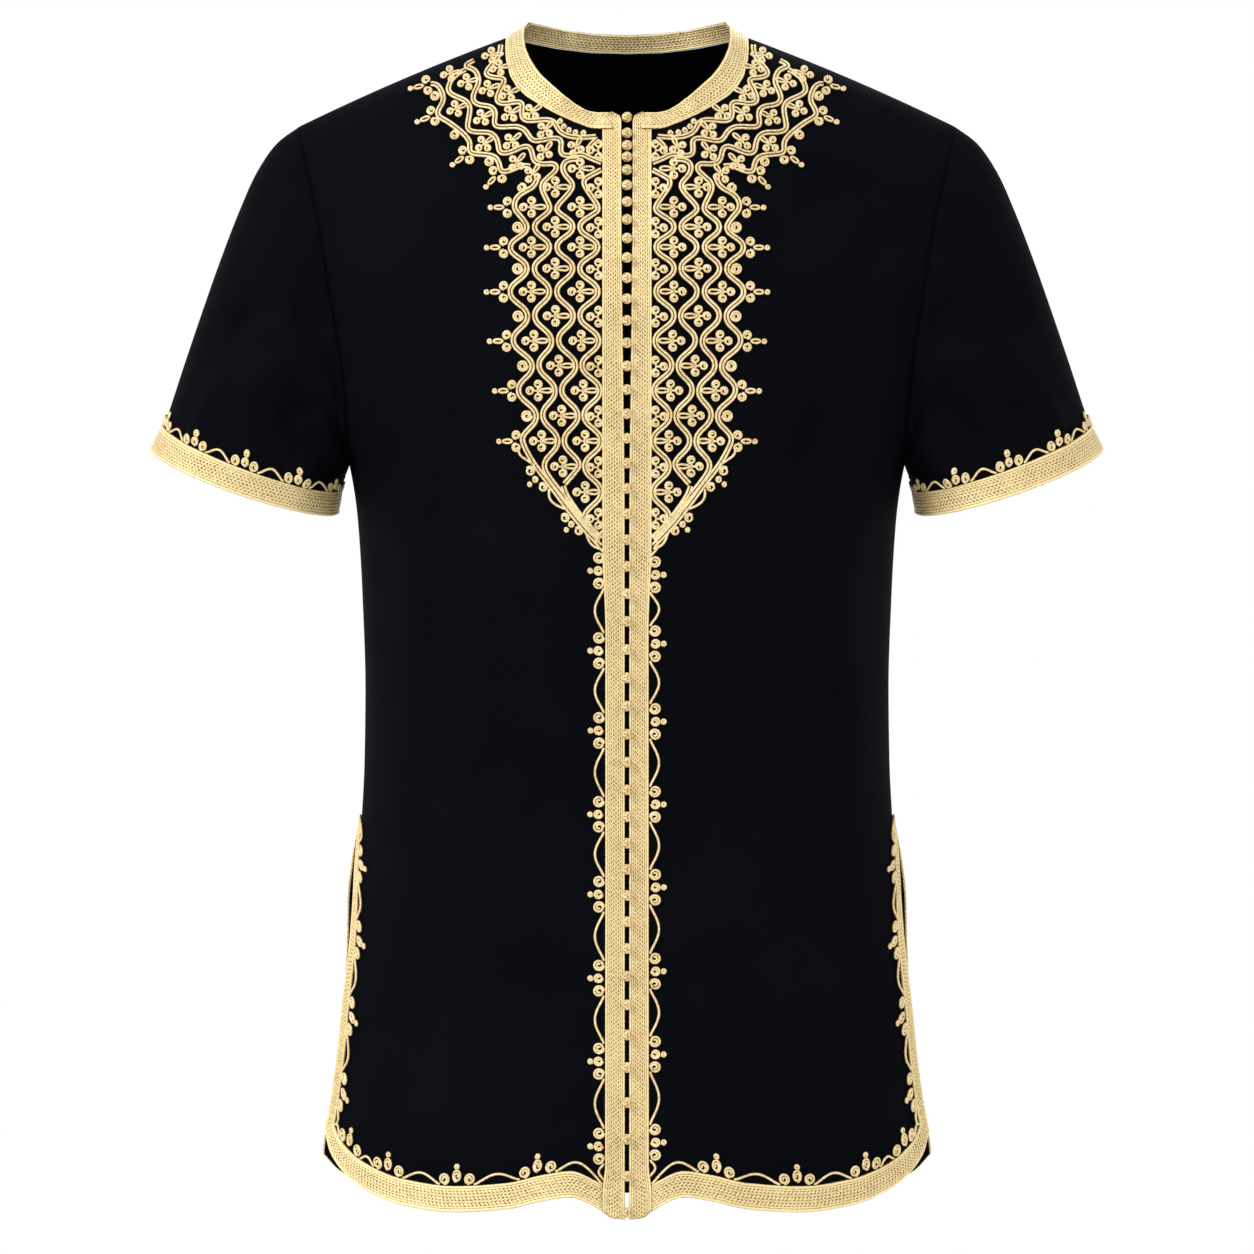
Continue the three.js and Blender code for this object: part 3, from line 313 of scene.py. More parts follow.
class Profile:
    """A smooth line through the rows of a short table, flat where the table turns back."""

    def __init__(self, at: np.ndarray, value: np.ndarray) -> None:
        """Sort the rows and work out the line's slope at each.

        Args:
            at: the column that is looked up.
            value: the column that is read.
        """
        order = np.argsort(at)
        self.at = np.asarray(at, float)[order]
        self.value = np.asarray(value, float)[order]
        chord = np.diff(self.value) / np.diff(self.at)
        product = chord[:-1] * chord[1:]
        total = np.where(chord[:-1] + chord[1:] == 0, 1, chord[:-1] + chord[1:])
        inner = np.where(product > 0, 2 * product / total, 0)
        self.slope = np.concatenate([chord[:1], inner, chord[-1:]])

    def __call__(self, at: np.ndarray) -> np.ndarray:
        """The line's value at some places.

        Args:
            at: the places, held within the table.
        Returns:
            The value at each.
        """
        x = np.clip(at, self.at[0], self.at[-1])
        i = np.clip(np.searchsorted(self.at, x, side="right") - 1, 0, len(self.at) - 2)
        span = self.at[i + 1] - self.at[i]
        t = (x - self.at[i]) / span
        start = self.value[i] * (1 + 2 * t) * (1 - t) ** 2 + self.slope[i] * span * t * (1 - t) ** 2
        end = self.value[i + 1] * t * t * (3 - 2 * t) + self.slope[i + 1] * span * t * t * (t - 1)
        return start + end


PINCH = Profile(SECTIONS[:, 0], SECTIONS[:, 5])
SLIT = Profile(SECTIONS[:, 0], SECTIONS[:, 6])
ARMHOLE_X = Profile(ARMHOLES[:, 0], ARMHOLES[:, 1])
ROW_HEIGHT = Profile(ROWS[:, 0], ROWS[:, 1])
NARROWED = Profile(NARROWING[:, 0], NARROWING[:, 1])
SLOT_HALF = Profile(SLOT[:, 0], SLOT[:, 1])
EDGE_OUTER = Profile(OUTER[:, 0], OUTER[:, 1])


def shoulder_line(x: np.ndarray) -> np.ndarray:
    """The shoulder line's height at a distance from the middle."""
    out = np.abs(x) - NECK_SIDE_X
    slope = NECK_SIDE_Z - SHOULDER_SLOPE * out - SHOULDER_DROOP * out * out
    level = NECK_SIDE_Z + SHOULDER_SLOPE * NECK_LEVELLING * (1 - np.exp(np.minimum(out, 0) / NECK_LEVELLING))
    return np.where(out >= 0, slope, level)


def deepened(table: list) -> list:
    """The same creases, as deep as the cloth has them."""
    return [[*row[:-1], row[-1] * CREASE_DEPTH] for row in table]


def creased(table: list, x: np.ndarray, z: np.ndarray) -> np.ndarray:
    """The sum of soft folds and creases at some places.

    Args:
        table: rows of two end points, half-width and height.
        x: first coordinate of the places.
        z: second coordinate.
    Returns:
        How far the cloth stands out there.
    """
    total = np.zeros(np.broadcast(x, z).shape)
    for x1, z1, x2, z2, width, height in table:
        run = math.hypot(x2 - x1, z2 - z1)
        along = ((x - x1) * (x2 - x1) + (z - z1) * (z2 - z1)) / run
        across = ((x - x1) * (z2 - z1) - (z - z1) * (x2 - x1)) / run
        over = np.maximum(0, np.maximum(-along, along - run)) / width
        total = total + height * np.exp(-((across / width) ** 2) - over * over)
    return total


# Rows of a body panel: 0 at the hem, 1 at the hem braid's upper edge, then the slit's top, the underarm
# and the shoulder tip. Columns start at the middle; shares of the way across that the fan of columns takes.
SLIT_ROW = 5
UNDERARM_ROW = 10
TOP_ROW = UNDERARM_ROW + ARMHOLE_STEPS
NECK_COLUMNS = 6
SIDE_COLUMNS = 12
EDGE_INSET = 0.02  # how far inside a panel's edge its normals are taken
WAY_ROUND = 2 * ARMHOLE_STEPS  # once round a sleeve
SLIT_BRAID_SHARE = 0.07
FAN = np.interp(np.arange(SIDE_COLUMNS + 1), [0, NECK_COLUMNS, SIDE_COLUMNS - 1, SIDE_COLUMNS],
                [0, 0.5, 1 - SLIT_BRAID_SHARE, 1])


# Rows of the fine grid up the armhole: none crowd at the underarm, where the edge turns sharply
ARMHOLE_ROWS = np.concatenate([[UNDERARM_ROW], UNDERARM_ROW + np.array([0.7, 1.1, 1.45, 1.75]),
                               np.linspace(UNDERARM_ROW + 2, TOP_ROW, 41)])


class Patch:
    """A stretch of cloth as a surface over two numbers, with its outward normal."""

    outwards: float = 1.0
    nudge: float = 0.02

    def place(self, a: np.ndarray, b: np.ndarray) -> np.ndarray:
        """The cloth's outer point at two numbers."""
        raise NotImplementedError

    def normal(self, a: np.ndarray, b: np.ndarray) -> np.ndarray:
        """The outward normal of the cloth.

        Args:
            a: first number of the places.
            b: second number.
        Returns:
            One unit vector for each place.
        """
        e = self.nudge
        one = self.place(a + e, b) - self.place(a - e, b)
        other = self.place(a, b + e) - self.place(a, b - e)
        return unit(np.cross(one, other)) * self.outwards

    def laid(self, a: np.ndarray, b: np.ndarray, lift: np.ndarray) -> np.ndarray:
        """The point above the cloth by some lift."""
        return self.place(a, b) + self.normal(a, b) * np.asarray(lift)[..., None]


@dataclass
class BodyCloth(Patch):
    """Front or back cloth of the body: columns from the middle to the side, rows from hem to shoulder."""

    facing: float
    hand: float
    half_width: Profile
    depth: Profile
    dome_height: float
    dome_power: float
    hem: Profile
    neck: np.ndarray
    corner: float
    straight: list
    folds: list

    def __post_init__(self) -> None:
        """Set which way the normals point."""
        self.outwards = self.hand if self.facing < 0 else -1.0
        self.side_column = len(self.straight) - 1 + SIDE_COLUMNS
        self.top_height = float(shoulder_line(np.array(SHOULDER_TIP)))

    def edge_turn(self, z: np.ndarray) -> np.ndarray:
        """Share of the quarter turn, 0 in the middle and 1 at the side, where the cloth ends."""
        gap = np.clip(SLIT(z) / self.depth(z), 0, 1)
        return 2 / math.pi * np.arccos(np.clip(gap ** (1 / (2 * PINCH(z))), 0, 1))

    def across_at(self, turn: np.ndarray) -> np.ndarray:
        """Share of the full width at a share of the quarter turn."""
        return np.clip(np.sin(turn * math.pi / 2), 0, 1) ** (2 / ROUNDNESS)

    def full_width(self, z: np.ndarray) -> np.ndarray:
        """Half-width that the section would have without a slit."""
        return self.half_width(z) / self.across_at(self.edge_turn(z))

    def turn_at(self, x: np.ndarray, z: np.ndarray) -> np.ndarray:
        """Share of the quarter turn at a distance from the middle."""
        share = np.minimum(1, np.abs(x) / self.full_width(z))
        return 2 / math.pi * np.arcsin(share ** (ROUNDNESS / 2))

    def level(self, x: np.ndarray, z: np.ndarray, bulge: np.ndarray) -> np.ndarray:
        """How far forward or back the cloth lies, from how much of its depth the section has there."""
        below = np.clip((shoulder_line(x) - z) / self.dome_height, 0, 1)
        reach = bulge * (1 - (1 - below) ** 2) ** self.dome_power
        out = self.depth(z) * reach + creased(self.folds, x, z) * np.minimum(1, reach * 2)
        return SEAM_BACK * (1 - np.abs(x) / SHOULDER_TIP) + self.facing * (SEAM_HALF + out)

    def under(self, x: np.ndarray, z: np.ndarray) -> np.ndarray:
        """The cloth's outer point behind a place of the front view."""
        share = np.minimum(1, np.abs(x) / self.full_width(z))
        bulge = np.maximum(0, 1 - share ** ROUNDNESS) ** PINCH(z)
        return np.stack([x, self.level(x, z, bulge), z + 0 * x], axis=-1)

    def side_height(self, row: np.ndarray) -> np.ndarray:
        """Height of a row at the side."""
        heights = [self.corner, self.corner + HEM_BRAID, SLIT_TOP, UNDERARM]
        low = np.interp(row, [0, 1, SLIT_ROW, UNDERARM_ROW], heights)
        down = (1 - np.cos(math.pi * np.clip(TOP_ROW - row, 0, ARMHOLE_STEPS) / ARMHOLE_STEPS)) / 2
        return np.where(row > UNDERARM_ROW, lerp(self.top_height, UNDERARM, down), low)

    def top_line(self, across: np.ndarray) -> tuple:
        """The top edge: along the neckline up to one half of the way across, then along the shoulder seam.

        Args:
            across: shares of the way across.
        Returns:
            Distance from the middle, height, and those of the neck band's upper edge.
        """
        fan_neck = self.neck[self.neck[:, 0] >= self.straight[-1]]
        runs = np.hypot(np.diff(fan_neck[:, 0]), np.diff(fan_neck[:, 1]))
        lengths = np.concatenate([[0], np.cumsum(runs)])
        want = np.clip(2 * across, 0, 1) * lengths[-1]
        x, z, band_x, band_z = [np.interp(want, lengths, fan_neck[:, n]) for n in range(4)]
        seam_x = lerp(NECK_SIDE_X, SHOULDER_TIP, np.clip(2 * across - 1, 0, 1))
        beyond = across > 0.5
        seam_z = shoulder_line(seam_x)
        return np.where(beyond, seam_x, x), np.where(beyond, seam_z, z), band_x, band_z

    def place(self, a: np.ndarray, b: np.ndarray) -> np.ndarray:
        """The cloth's outer point at a column and a row.

        Args:
            a: columns, below 0 on the other half of a back.
            b: rows.
        Returns:
            Points.
        """
        a, b = np.broadcast_arrays(np.asarray(a, float), np.asarray(b, float))
        hand = np.where(a < 0, -1.0, 1.0) * self.hand if self.facing > 0 else np.full(a.shape, self.hand)
        column = np.abs(a) if self.facing > 0 else np.maximum(a, 0)
        height = self.side_height(b)
        up = (height - self.corner) / (self.top_height - self.corner)
        braid_up = HEM_BRAID / (self.top_height - self.corner)
        near_braid = np.clip(np.minimum(b, 2 - b), 0, 1)
        # the straight columns beside the opening
        x = np.interp(column, np.arange(len(self.straight)), self.straight)
        low, high = self.hem(x), np.interp(x, self.neck[:, 0], self.neck[:, 1])
        straight_z = lerp(low, high, up) + near_braid * (low + HEM_BRAID - lerp(low, high, braid_up))
        straight_turn = self.turn_at(x, straight_z)
        # the fan of columns
        first = self.straight[-1]
        across = np.interp(column - (len(self.straight) - 1), np.arange(SIDE_COLUMNS + 1), FAN)
        start_low, start_high = self.hem(first), float(np.interp(first, self.neck[:, 0], self.neck[:, 1]))
        corners = [
            (self.turn_at(first, start_low), start_low),
            (self.turn_at(first, start_high), start_high),
            (self.edge_turn(self.corner), self.corner),
            (self.turn_at(SHOULDER_TIP, self.top_height), self.top_height),
        ]
        hem_turn = lerp(corners[0][0], corners[2][0], across)
        hem_z = self.hem(self.full_width(self.corner) * self.across_at(hem_turn))
        bottom = (hem_turn, np.where(across > 0.999, self.corner, hem_z))
        top_x, top_z, _, _ = self.top_line(across)
        top = (self.turn_at(top_x, top_z), top_z)

        def side(share: np.ndarray) -> tuple:
            """The side edge's turn and height."""
            h = lerp(self.corner, self.top_height, share)
            hole = self.turn_at(ARMHOLE_X(h), h)
            return np.where(h <= UNDERARM + 0.01, self.edge_turn(h), hole), h

        def fan(share: np.ndarray) -> list:
            """The fan's turn and height at a share of the way up."""
            start_z = lerp(start_low, start_high, share)
            left, right = (self.turn_at(first, start_z), start_z), side(share)
            return [
                (1 - share) * bottom[n] + share * top[n] + (1 - across) * left[n] + across * right[n]
                - (1 - across) * ((1 - share) * corners[0][n] + share * corners[1][n])
                - across * ((1 - share) * corners[2][n] + share * corners[3][n])
                for n in range(2)
            ]

        turn, z = fan(up)
        braid_z = fan(np.full(a.shape, braid_up))[1]
        kept = lerp(bottom[1] + HEM_BRAID, braid_z, across ** 8)
        z = z + near_braid * (kept - braid_z)
        in_fan = column > len(self.straight) - 1
        turn, z = np.where(in_fan, turn, straight_turn), np.where(in_fan, z, straight_z)
        x = hand * self.full_width(z) * self.across_at(turn)
        bulge = np.maximum(0, np.cos(turn * math.pi / 2)) ** (2 * PINCH(z))
        return np.stack([x, self.level(x, z, bulge), z], axis=-1)


@dataclass
class FrontView(Patch):
    """The front cloth over distance from the middle and height, for what is laid out in the front view."""

    cloth: BodyCloth
    nudge: float = 1.0

    def __post_init__(self) -> None:
        """Take the cloth's own way of facing."""
        self.outwards = self.cloth.outwards

    def place(self, a: np.ndarray, b: np.ndarray) -> np.ndarray:
        """The front cloth's point at a distance from the middle and a height."""
        return self.cloth.under(np.asarray(a, float) * self.cloth.hand, np.asarray(b, float))


@dataclass
class SleeveCloth(Patch):
    """A sleeve over the way round, 0 to 20 from the shoulder by the front, and the rings to the cuff."""

    hand: float
    front: BodyCloth
    back: BodyCloth

    def __post_init__(self) -> None:
        """Make the smooth lines through the rings."""
        self.outwards = self.hand
        rings = np.arange(len(RINGS))
        self.ring = [Profile(rings, RINGS[:, n]) for n in range(6)]

    def armhole(self, around: np.ndarray) -> np.ndarray:
        """Points of the armhole on the body."""
        t = np.mod(around, WAY_ROUND)
        down = np.minimum(t, WAY_ROUND - t)
        front = self.front.place(self.front.side_column, TOP_ROW - down)
        back = self.back.place(self.back.side_column * self.hand, TOP_ROW - down)
        behind = np.clip((t - ARMHOLE_STEPS + 0.1) / 0.2, 0, 1) * np.clip((WAY_ROUND - t) / 0.1, 0, 1)
        return lerp(front, back, behind[..., None])

    def ellipse(self, around: np.ndarray, ring: np.ndarray) -> np.ndarray:
        """A ring before it is fitted to the armhole, with its folds."""
        angle = np.asarray(around, float) * math.pi / ARMHOLE_STEPS
        top_x, top_z, under_x, under_z, depth, drop = [line(ring) for line in self.ring]
        degrees = np.mod(np.degrees(angle), 360)
        for at, near, rings, spread, height in FOLDS_SLEEVE:
            depth = depth + height * np.exp(-(((ring - at) / rings) ** 2) - ((degrees - near) / spread) ** 2)
        table = [[r1 * RING_STEP, a1 * DEGREE_ROUND, r2 * RING_STEP, a2 * DEGREE_ROUND, width, height]
                 for r1, a1, r2, a2, width, height in deepened(CREASES_SLEEVE)]
        lift = creased(table, ring * RING_STEP, degrees * DEGREE_ROUND)
        half_x, half_z = (top_x - under_x) / 2, (top_z - under_z) / 2
        length = np.hypot(half_x, half_z)
        out_x, out_z = half_z / length, -half_x / length
        stretch = 1 + lift / length
        cosine, sine = np.cos(angle) * stretch, np.sin(angle)
        x = (top_x + under_x) / 2 + half_x * cosine + out_x * drop * sine
        z = (top_z + under_z) / 2 + half_z * cosine + out_z * drop * sine
        return np.stack([self.hand * x, -(depth + lift) * sine, z], axis=-1)

    def place(self, a: np.ndarray, b: np.ndarray) -> np.ndarray:
        """The sleeve's outer point at a way round and a ring."""
        a, b = np.broadcast_arrays(np.asarray(a, float), np.asarray(b, float))
        shift = self.armhole(a) - self.ellipse(a, np.zeros(a.shape))
        return self.ellipse(a, b) + shift * ((1 - np.clip(b, 0, CUFF_RING) / CUFF_RING) ** 2)[..., None]


@dataclass
class NeckCloth(Patch):
    """The neck band over the way round, -12 to 12 by the back, and the way up, 0 to 1."""

    fronts: list
    back: BodyCloth

    def __post_init__(self) -> None:
        """Set which way the normals point."""
        self.outwards = -1.0

    def place(self, a: np.ndarray, b: np.ndarray) -> np.ndarray:
        """The band's middle surface at a way round and a way up."""
        a, b = np.broadcast_arrays(np.asarray(a, float), np.asarray(b, float))
        hand = np.where(a < 0, -1.0, 1.0)
        way = np.clip(SIDE_COLUMNS - np.abs(a), 0, SIDE_COLUMNS)
        before = np.minimum(way, NECK_COLUMNS)
        past_side = SIDE_COLUMNS - np.maximum(way, NECK_COLUMNS)
        left, right = [front.place(2 + before, TOP_ROW) for front in self.fronts]
        front_foot = np.where((hand < 0)[..., None], left, right)
        back_foot = self.back.place(hand * past_side, TOP_ROW)
        behind = np.clip((way - NECK_COLUMNS + 0.1) / 0.2, 0, 1)
        foot = lerp(front_foot, back_foot, behind[..., None])
        ends = [cloth.top_line(0.5 * share / NECK_COLUMNS)[2:] for cloth, share in
                ((self.fronts[0], before), (self.back, past_side))]
        in_front = way <= NECK_COLUMNS
        top_x, top_z = [np.where(in_front, one, other) for one, other in zip(*ends)]
        across, rise = top_x - np.abs(foot[..., 0]), top_z - foot[..., 2]
        lean = np.sqrt(np.maximum(0, NECK_BAND ** 2 - across ** 2 - rise ** 2))
        top = np.stack([hand * top_x, foot[..., 1] + np.where(in_front, 1, -1) * lean, top_z], axis=-1)
        # beyond its ends the band runs on, over the edge braids
        past = np.maximum(0, np.abs(a) - SIDE_COLUMNS) * 4.0
        points = lerp(foot, top, b[..., None])
        points[..., 0] -= hand * past
        return points


@dataclass
class Parts:
    """Meshes gathered into one: corners in millimetres, faces and their places on the texture."""

    corners: list = field(default_factory=list)
    faces: list = field(default_factory=list)
    marks: list = field(default_factory=list)
    count: int = 0

    def add(self, corners: np.ndarray, faces: list, marks: list) -> None:
        """Add one mesh.

        Args:
            corners: its points, in millimetres.
            faces: arrays of corner numbers, one array for each face size.
            marks: arrays of texture places, one for each corner of those faces.
        """
        self.corners.append(corners.reshape(-1, 3))
        self.faces.extend(face + self.count for face in faces)
        self.marks.extend(marks)
        self.count += len(self.corners[-1])

    def piece(self, name: str) -> bpy.types.Object:
        """Make the object.

        Args:
            name: the piece's name.
        Returns:
            The object, linked to the scene, riding on the body.
        """
        mesh = bpy.data.meshes.new(name)
        corners = np.concatenate(self.corners) * MM
        loops = np.concatenate([face.ravel() for face in self.faces])
        sizes = np.concatenate([np.full(len(face), face.shape[1]) for face in self.faces])
        mesh.vertices.add(len(corners))
        mesh.vertices.foreach_set("co", corners.ravel())
        mesh.loops.add(len(loops))
        mesh.loops.foreach_set("vertex_index", loops.astype(np.int32))
        mesh.polygons.add(len(sizes))
        starts = np.concatenate([[0], np.cumsum(sizes)[:-1]]).astype(np.int32)
        mesh.polygons.foreach_set("loop_start", starts)
        mesh.polygons.foreach_set("use_smooth", np.ones(len(sizes), bool))
        layer = mesh.uv_layers.new(name="UVMap")
        layer.data.foreach_set("uv", np.concatenate([mark.reshape(-1, 2) for mark in self.marks]).ravel())
        mesh.update(calc_edges=True)
        mesh.validate()
        piece = bpy.data.objects.new(name, mesh)
        bpy.context.scene.collection.objects.link(piece)
        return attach(piece, BODY)


def grid_faces(rows: int, columns: int, closed: bool, flip: bool) -> tuple:
    """Quads between the points of a grid.

    Args:
        rows: rows of points.
        columns: columns of points.
        closed: whether the last column joins the first.
        flip: whether the faces look the other way.
    Returns:
        Corner numbers of each quad, and the same with an unwrapped last column.
    """
    i, j = np.meshgrid(np.arange(rows - 1), np.arange(columns if closed else columns - 1), indexing="ij")
    i, j = i.ravel(), j.ravel()
    order = [(0, 0), (0, 1), (1, 1), (1, 0)]
    if flip:
        order = order[::-1]
    wrapped = np.stack([(i + di) * columns + (j + dj) % columns for di, dj in order], axis=1)
    wide = columns + 1 if closed else columns
    spread = np.stack([(i + di) * wide + (j + dj) for di, dj in order], axis=1)
    return wrapped, spread


def texture_places(points: np.ndarray, closed: bool) -> np.ndarray:
    """Distances along the rows and columns of a grid, in metres, as texture places.

    Args:
        points: the grid.
        closed: whether the last column joins the first.
    Returns:
        One pair for each point, with one more column where the grid is closed.
    """
    if closed:
        points = np.concatenate([points, points[:, :1]], axis=1)
    across = np.linalg.norm(np.diff(points, axis=1), axis=-1)
    up = np.linalg.norm(np.diff(points, axis=0), axis=-1)
    u = np.concatenate([np.zeros((len(points), 1)), np.cumsum(across, axis=1)], axis=1)
    v = np.concatenate([np.zeros((1, points.shape[1])), np.cumsum(up, axis=0)], axis=0)
    return np.stack([u, v], axis=-1) * MM


def add_shell(parts: Parts, outer: np.ndarray, normals: np.ndarray, thick: float, closed: bool,
              flip: bool) -> None:
    """Add a thin shell of cloth: its outer face, its inner face and its rim.

    Args:
        parts: what it is added to.
        outer: the grid of its outer points.
        normals: outward normals there.
        thick: the cloth's thickness.
        closed: whether the grid closes round.
        flip: whether the outer faces' order is turned.
    """
    rows, columns = outer.shape[:2]
    inner = outer - normals * thick
    places = texture_places(outer, closed).reshape(-1, 2)
    faces, marks = grid_faces(rows, columns, closed, flip)
    back_faces, back_marks = grid_faces(rows, columns, closed, not flip)
    count = rows * columns
    all_faces = [faces, back_faces + count]
    all_marks = [places[marks], places[back_marks]]
    edges = [np.arange(columns), (rows - 1) * columns + np.arange(columns)[::-1]]
    if closed:
        edges = [np.append(edges[0], 0), np.append(edges[1], (rows - 1) * columns + columns - 1)]
    else:
        edges += [np.arange(rows)[::-1] * columns, np.arange(rows) * columns + columns - 1]
    for edge in edges:
        a, b = edge[:-1], edge[1:]
        rim = np.stack([b, a, a + count, b + count], axis=1)
        all_faces.append(rim[:, ::-1] if flip else rim)
        all_marks.append(np.zeros((len(rim), 4, 2)) + places[0])
    parts.add(np.concatenate([outer.reshape(-1, 3), inner.reshape(-1, 3)]), all_faces, all_marks)


def add_sweep(parts: Parts, sections: np.ndarray, places: np.ndarray, closed: bool,
              flip: bool = False) -> None:
    """Add a body swept from section to section, each a closed loop of points.

    Args:
        parts: what it is added to.
        sections: points, by section and then round it.
        places: texture places, with one more round each section.
        closed: whether the last section joins the first.
        flip: whether the faces look the other way.
    """
    count, sides = sections.shape[:2]
    faces, marks = grid_faces(count, sides, True, flip)
    all_faces, all_marks = [faces], [places.reshape(-1, 2)[marks]]
    if closed:
        last = np.stack([np.arange(sides), (np.arange(sides) + 1) % sides], axis=1)
        join = np.concatenate([last + (count - 1) * sides, last[:, ::-1]], axis=1)
        all_faces.append(join[:, ::-1] if flip else join)
        end, on = places[-1], 2 * places[-1] - places[-2]
        join_marks = np.stack([end[:-1], end[1:], on[1:], on[:-1]], axis=1)
        all_marks.append(join_marks[:, ::-1] if flip else join_marks)
    else:
        for start, turned in ((0, not flip), ((count - 1) * sides, flip)):
            cap = np.arange(sides) + start
            all_faces.append((cap[::-1] if turned else cap)[None])
            all_marks.append(np.repeat(places[0, :1], sides, axis=0)[None])
    parts.add(sections, all_faces, all_marks)


@dataclass(frozen=True)
class Cord:
    """A round cord that is sewn down along a line of the cloth."""

    radius: float = CORD
    sides: int = 6
    step: float = 1.5
    sink: float = 0.9  # its middle lies this share of its radius above the cloth

    def lay(self, parts: Parts, patch: Patch, line: np.ndarray, lift: float = 0.0,
            closed: bool = False) -> None:
        """Lay the cord along a line given in the patch's own two numbers.

        Args:
            parts: what it is added to.
            patch: the cloth that it lies on.
            line: the line's points in the patch's numbers.
            lift: how far it stands above its usual place.
            closed: whether the line closes.
        """
        points = patch.laid(line[:, 0], line[:, 1], TRIM_LIFT + lift + self.radius * self.sink)
        self.sweep(parts, points, patch.normal(line[:, 0], line[:, 1]), closed)

    def sweep(self, parts: Parts, points: np.ndarray, normals: np.ndarray, closed: bool = False) -> None:
        """Make the cord along points.

        Args:
            parts: what it is added to.
            points: the cord's middle line.
            normals: the way up at each point.
            closed: whether the line closes.
        """
        if closed:
            along = unit(np.roll(points, -1, axis=0) - np.roll(points, 1, axis=0))
        else:
            along = unit(np.gradient(points, axis=0))
        side = unit(np.cross(normals, along))
        up = np.cross(along, side)
        angle = np.arange(self.sides) * 2 * math.pi / self.sides
        ring = side[:, None] * np.cos(angle)[:, None] + up[:, None] * np.sin(angle)[:, None]
        runs = np.linalg.norm(np.diff(points, axis=0), axis=-1)
        length = np.concatenate([[0], np.cumsum(runs)]) * MM
        v = np.arange(self.sides + 1) / self.sides
        places = np.stack(np.broadcast_arrays(length[:, None], v[None]), axis=-1)
        add_sweep(parts, points[:, None] + ring * self.radius, places, closed)


ROUNDING = 5  # times that a line's turns are eased


def smooth_line(nodes: np.ndarray, step: float) -> np.ndarray:
    """A smooth line through some points, with evenly spaced points of its own.

    Args:
        nodes: the points that it goes through.
        step: the distance between its own points.
    Returns:
        Its points.
    """
    padded = np.concatenate([nodes[:1], nodes, nodes[-1:]])
    fine = []
    for a, b, c, d in zip(padded, padded[1:], padded[2:], padded[3:]):
        t = np.linspace(0, 1, 24, endpoint=False)[:, None]
        bend = (2 * a - 5 * b + 4 * c - d) * t ** 2 + (3 * b - a - 3 * c + d) * t ** 3
        fine.append(0.5 * (2 * b + (c - a) * t + bend))
    fine = np.concatenate([*fine, nodes[-1:]])
    length = np.concatenate([[0], np.cumsum(np.linalg.norm(np.diff(fine, axis=0), axis=-1))])
    even = np.linspace(0, length[-1], max(3, round(length[-1] / step) + 1))
    line = np.stack([np.interp(even, length, fine[:, n]) for n in range(2)], axis=-1)
    for _ in range(ROUNDING):
        line[1:-1] = (line[:-2] + 2 * line[1:-1] + line[2:]) / 4
    return line


def beside(line: np.ndarray, offset: float) -> np.ndarray:
    """The line moved sideways by an offset."""
    along = unit(np.gradient(line, axis=0))
    return line + np.stack([-along[:, 1], along[:, 0]], axis=-1) * offset


def coil(x: float, z: float, start: float, outer: float, inner: float, turns: float,
         step: float = 0.95) -> np.ndarray:
    """A coil of cord as a spiral line in a flat view.

    Args:
        x: its middle.
        z: its middle.
        start: the angle where it begins, at its outside.
        outer: radius of its outer turn.
        inner: radius where it ends.
        turns: number of turns, below 0 clockwise.
        step: distance between its points.
    Returns:
        Its points.
    """
    count = max(8, round(abs(turns) * math.pi * (outer + inner) / step))
    share = np.linspace(0, 1, count)
    ease = np.clip(share * abs(turns) - 0.55, 0, None)
    radius = lerp(outer, inner, ease / max(ease[-1], 1e-6))
    angle = start + 2 * math.pi * turns * share
    return np.stack([x + radius * np.cos(angle), z + radius * np.sin(angle)], axis=-1)


def turned(line: np.ndarray, x: float, z: float, angle: float) -> np.ndarray:
    """A line drawn along the first axis, turned and moved to its place."""
    c, s = math.cos(angle), math.sin(angle)
    return np.stack([x + line[:, 0] * c - line[:, 1] * s, z + line[:, 0] * s + line[:, 1] * c], axis=-1)


@dataclass(frozen=True)
class FourPetalKnot:
    """A knot of couched cord: three coiled petals and a long loop for the fourth."""

    size: float = 1.0
    petal_out: float = 2.6  # radius of the petal's outer turn
    petal_in: float = 0.75
    petal_turns: float = 1.7
    side_reach: float = 4.5  # from the middle to a side petal's middle
    far_reach: float = 5.5
    loop_middle: float = 5.5
    loop_half: float = 4.6
    loop_width: float = 1.65
    cord: Cord = Cord(radius=0.92, step=1.3)

    def lines(self, whole: bool = True) -> list:
        """Its lines, with the long loop along the first axis.

        Args:
            whole: whether it has its loop, or is the half knot beside a braid.
        Returns:
            One line for each petal and the loop.
        """
        out, inn, turns = self.petal_out, self.petal_in, self.petal_turns
        petals = [
            coil(0.2, self.side_reach, -math.pi / 2, out, inn, turns),
            coil(-self.far_reach, 0.1, 0.0, out, inn, -turns),
            coil(0.2, -self.side_reach, math.pi / 2, out, inn, -turns),
        ]
        made = [np.concatenate([[[-0.3, 0.0]], petal]) for petal in petals]
        if whole:
            angle = np.linspace(math.pi, 3 * math.pi, 20)
            wide = 0.85 + 0.3 * np.cos(angle)
            made.append(np.stack([self.loop_middle + self.loop_half * np.cos(angle),
                                  self.loop_width * np.sin(angle) * wide], axis=-1))
        return [line * self.size for line in made]

    def lay(self, parts: Parts, patch: Patch, x: float, z: float, angle: float, whole: bool = True) -> None:
        """Lay the knot in a front view, its loop pointing at an angle."""
        for n, line in enumerate(self.lines(whole)):
            self.cord.lay(parts, patch, turned(line, x, z, angle), lift=0.1 * n)


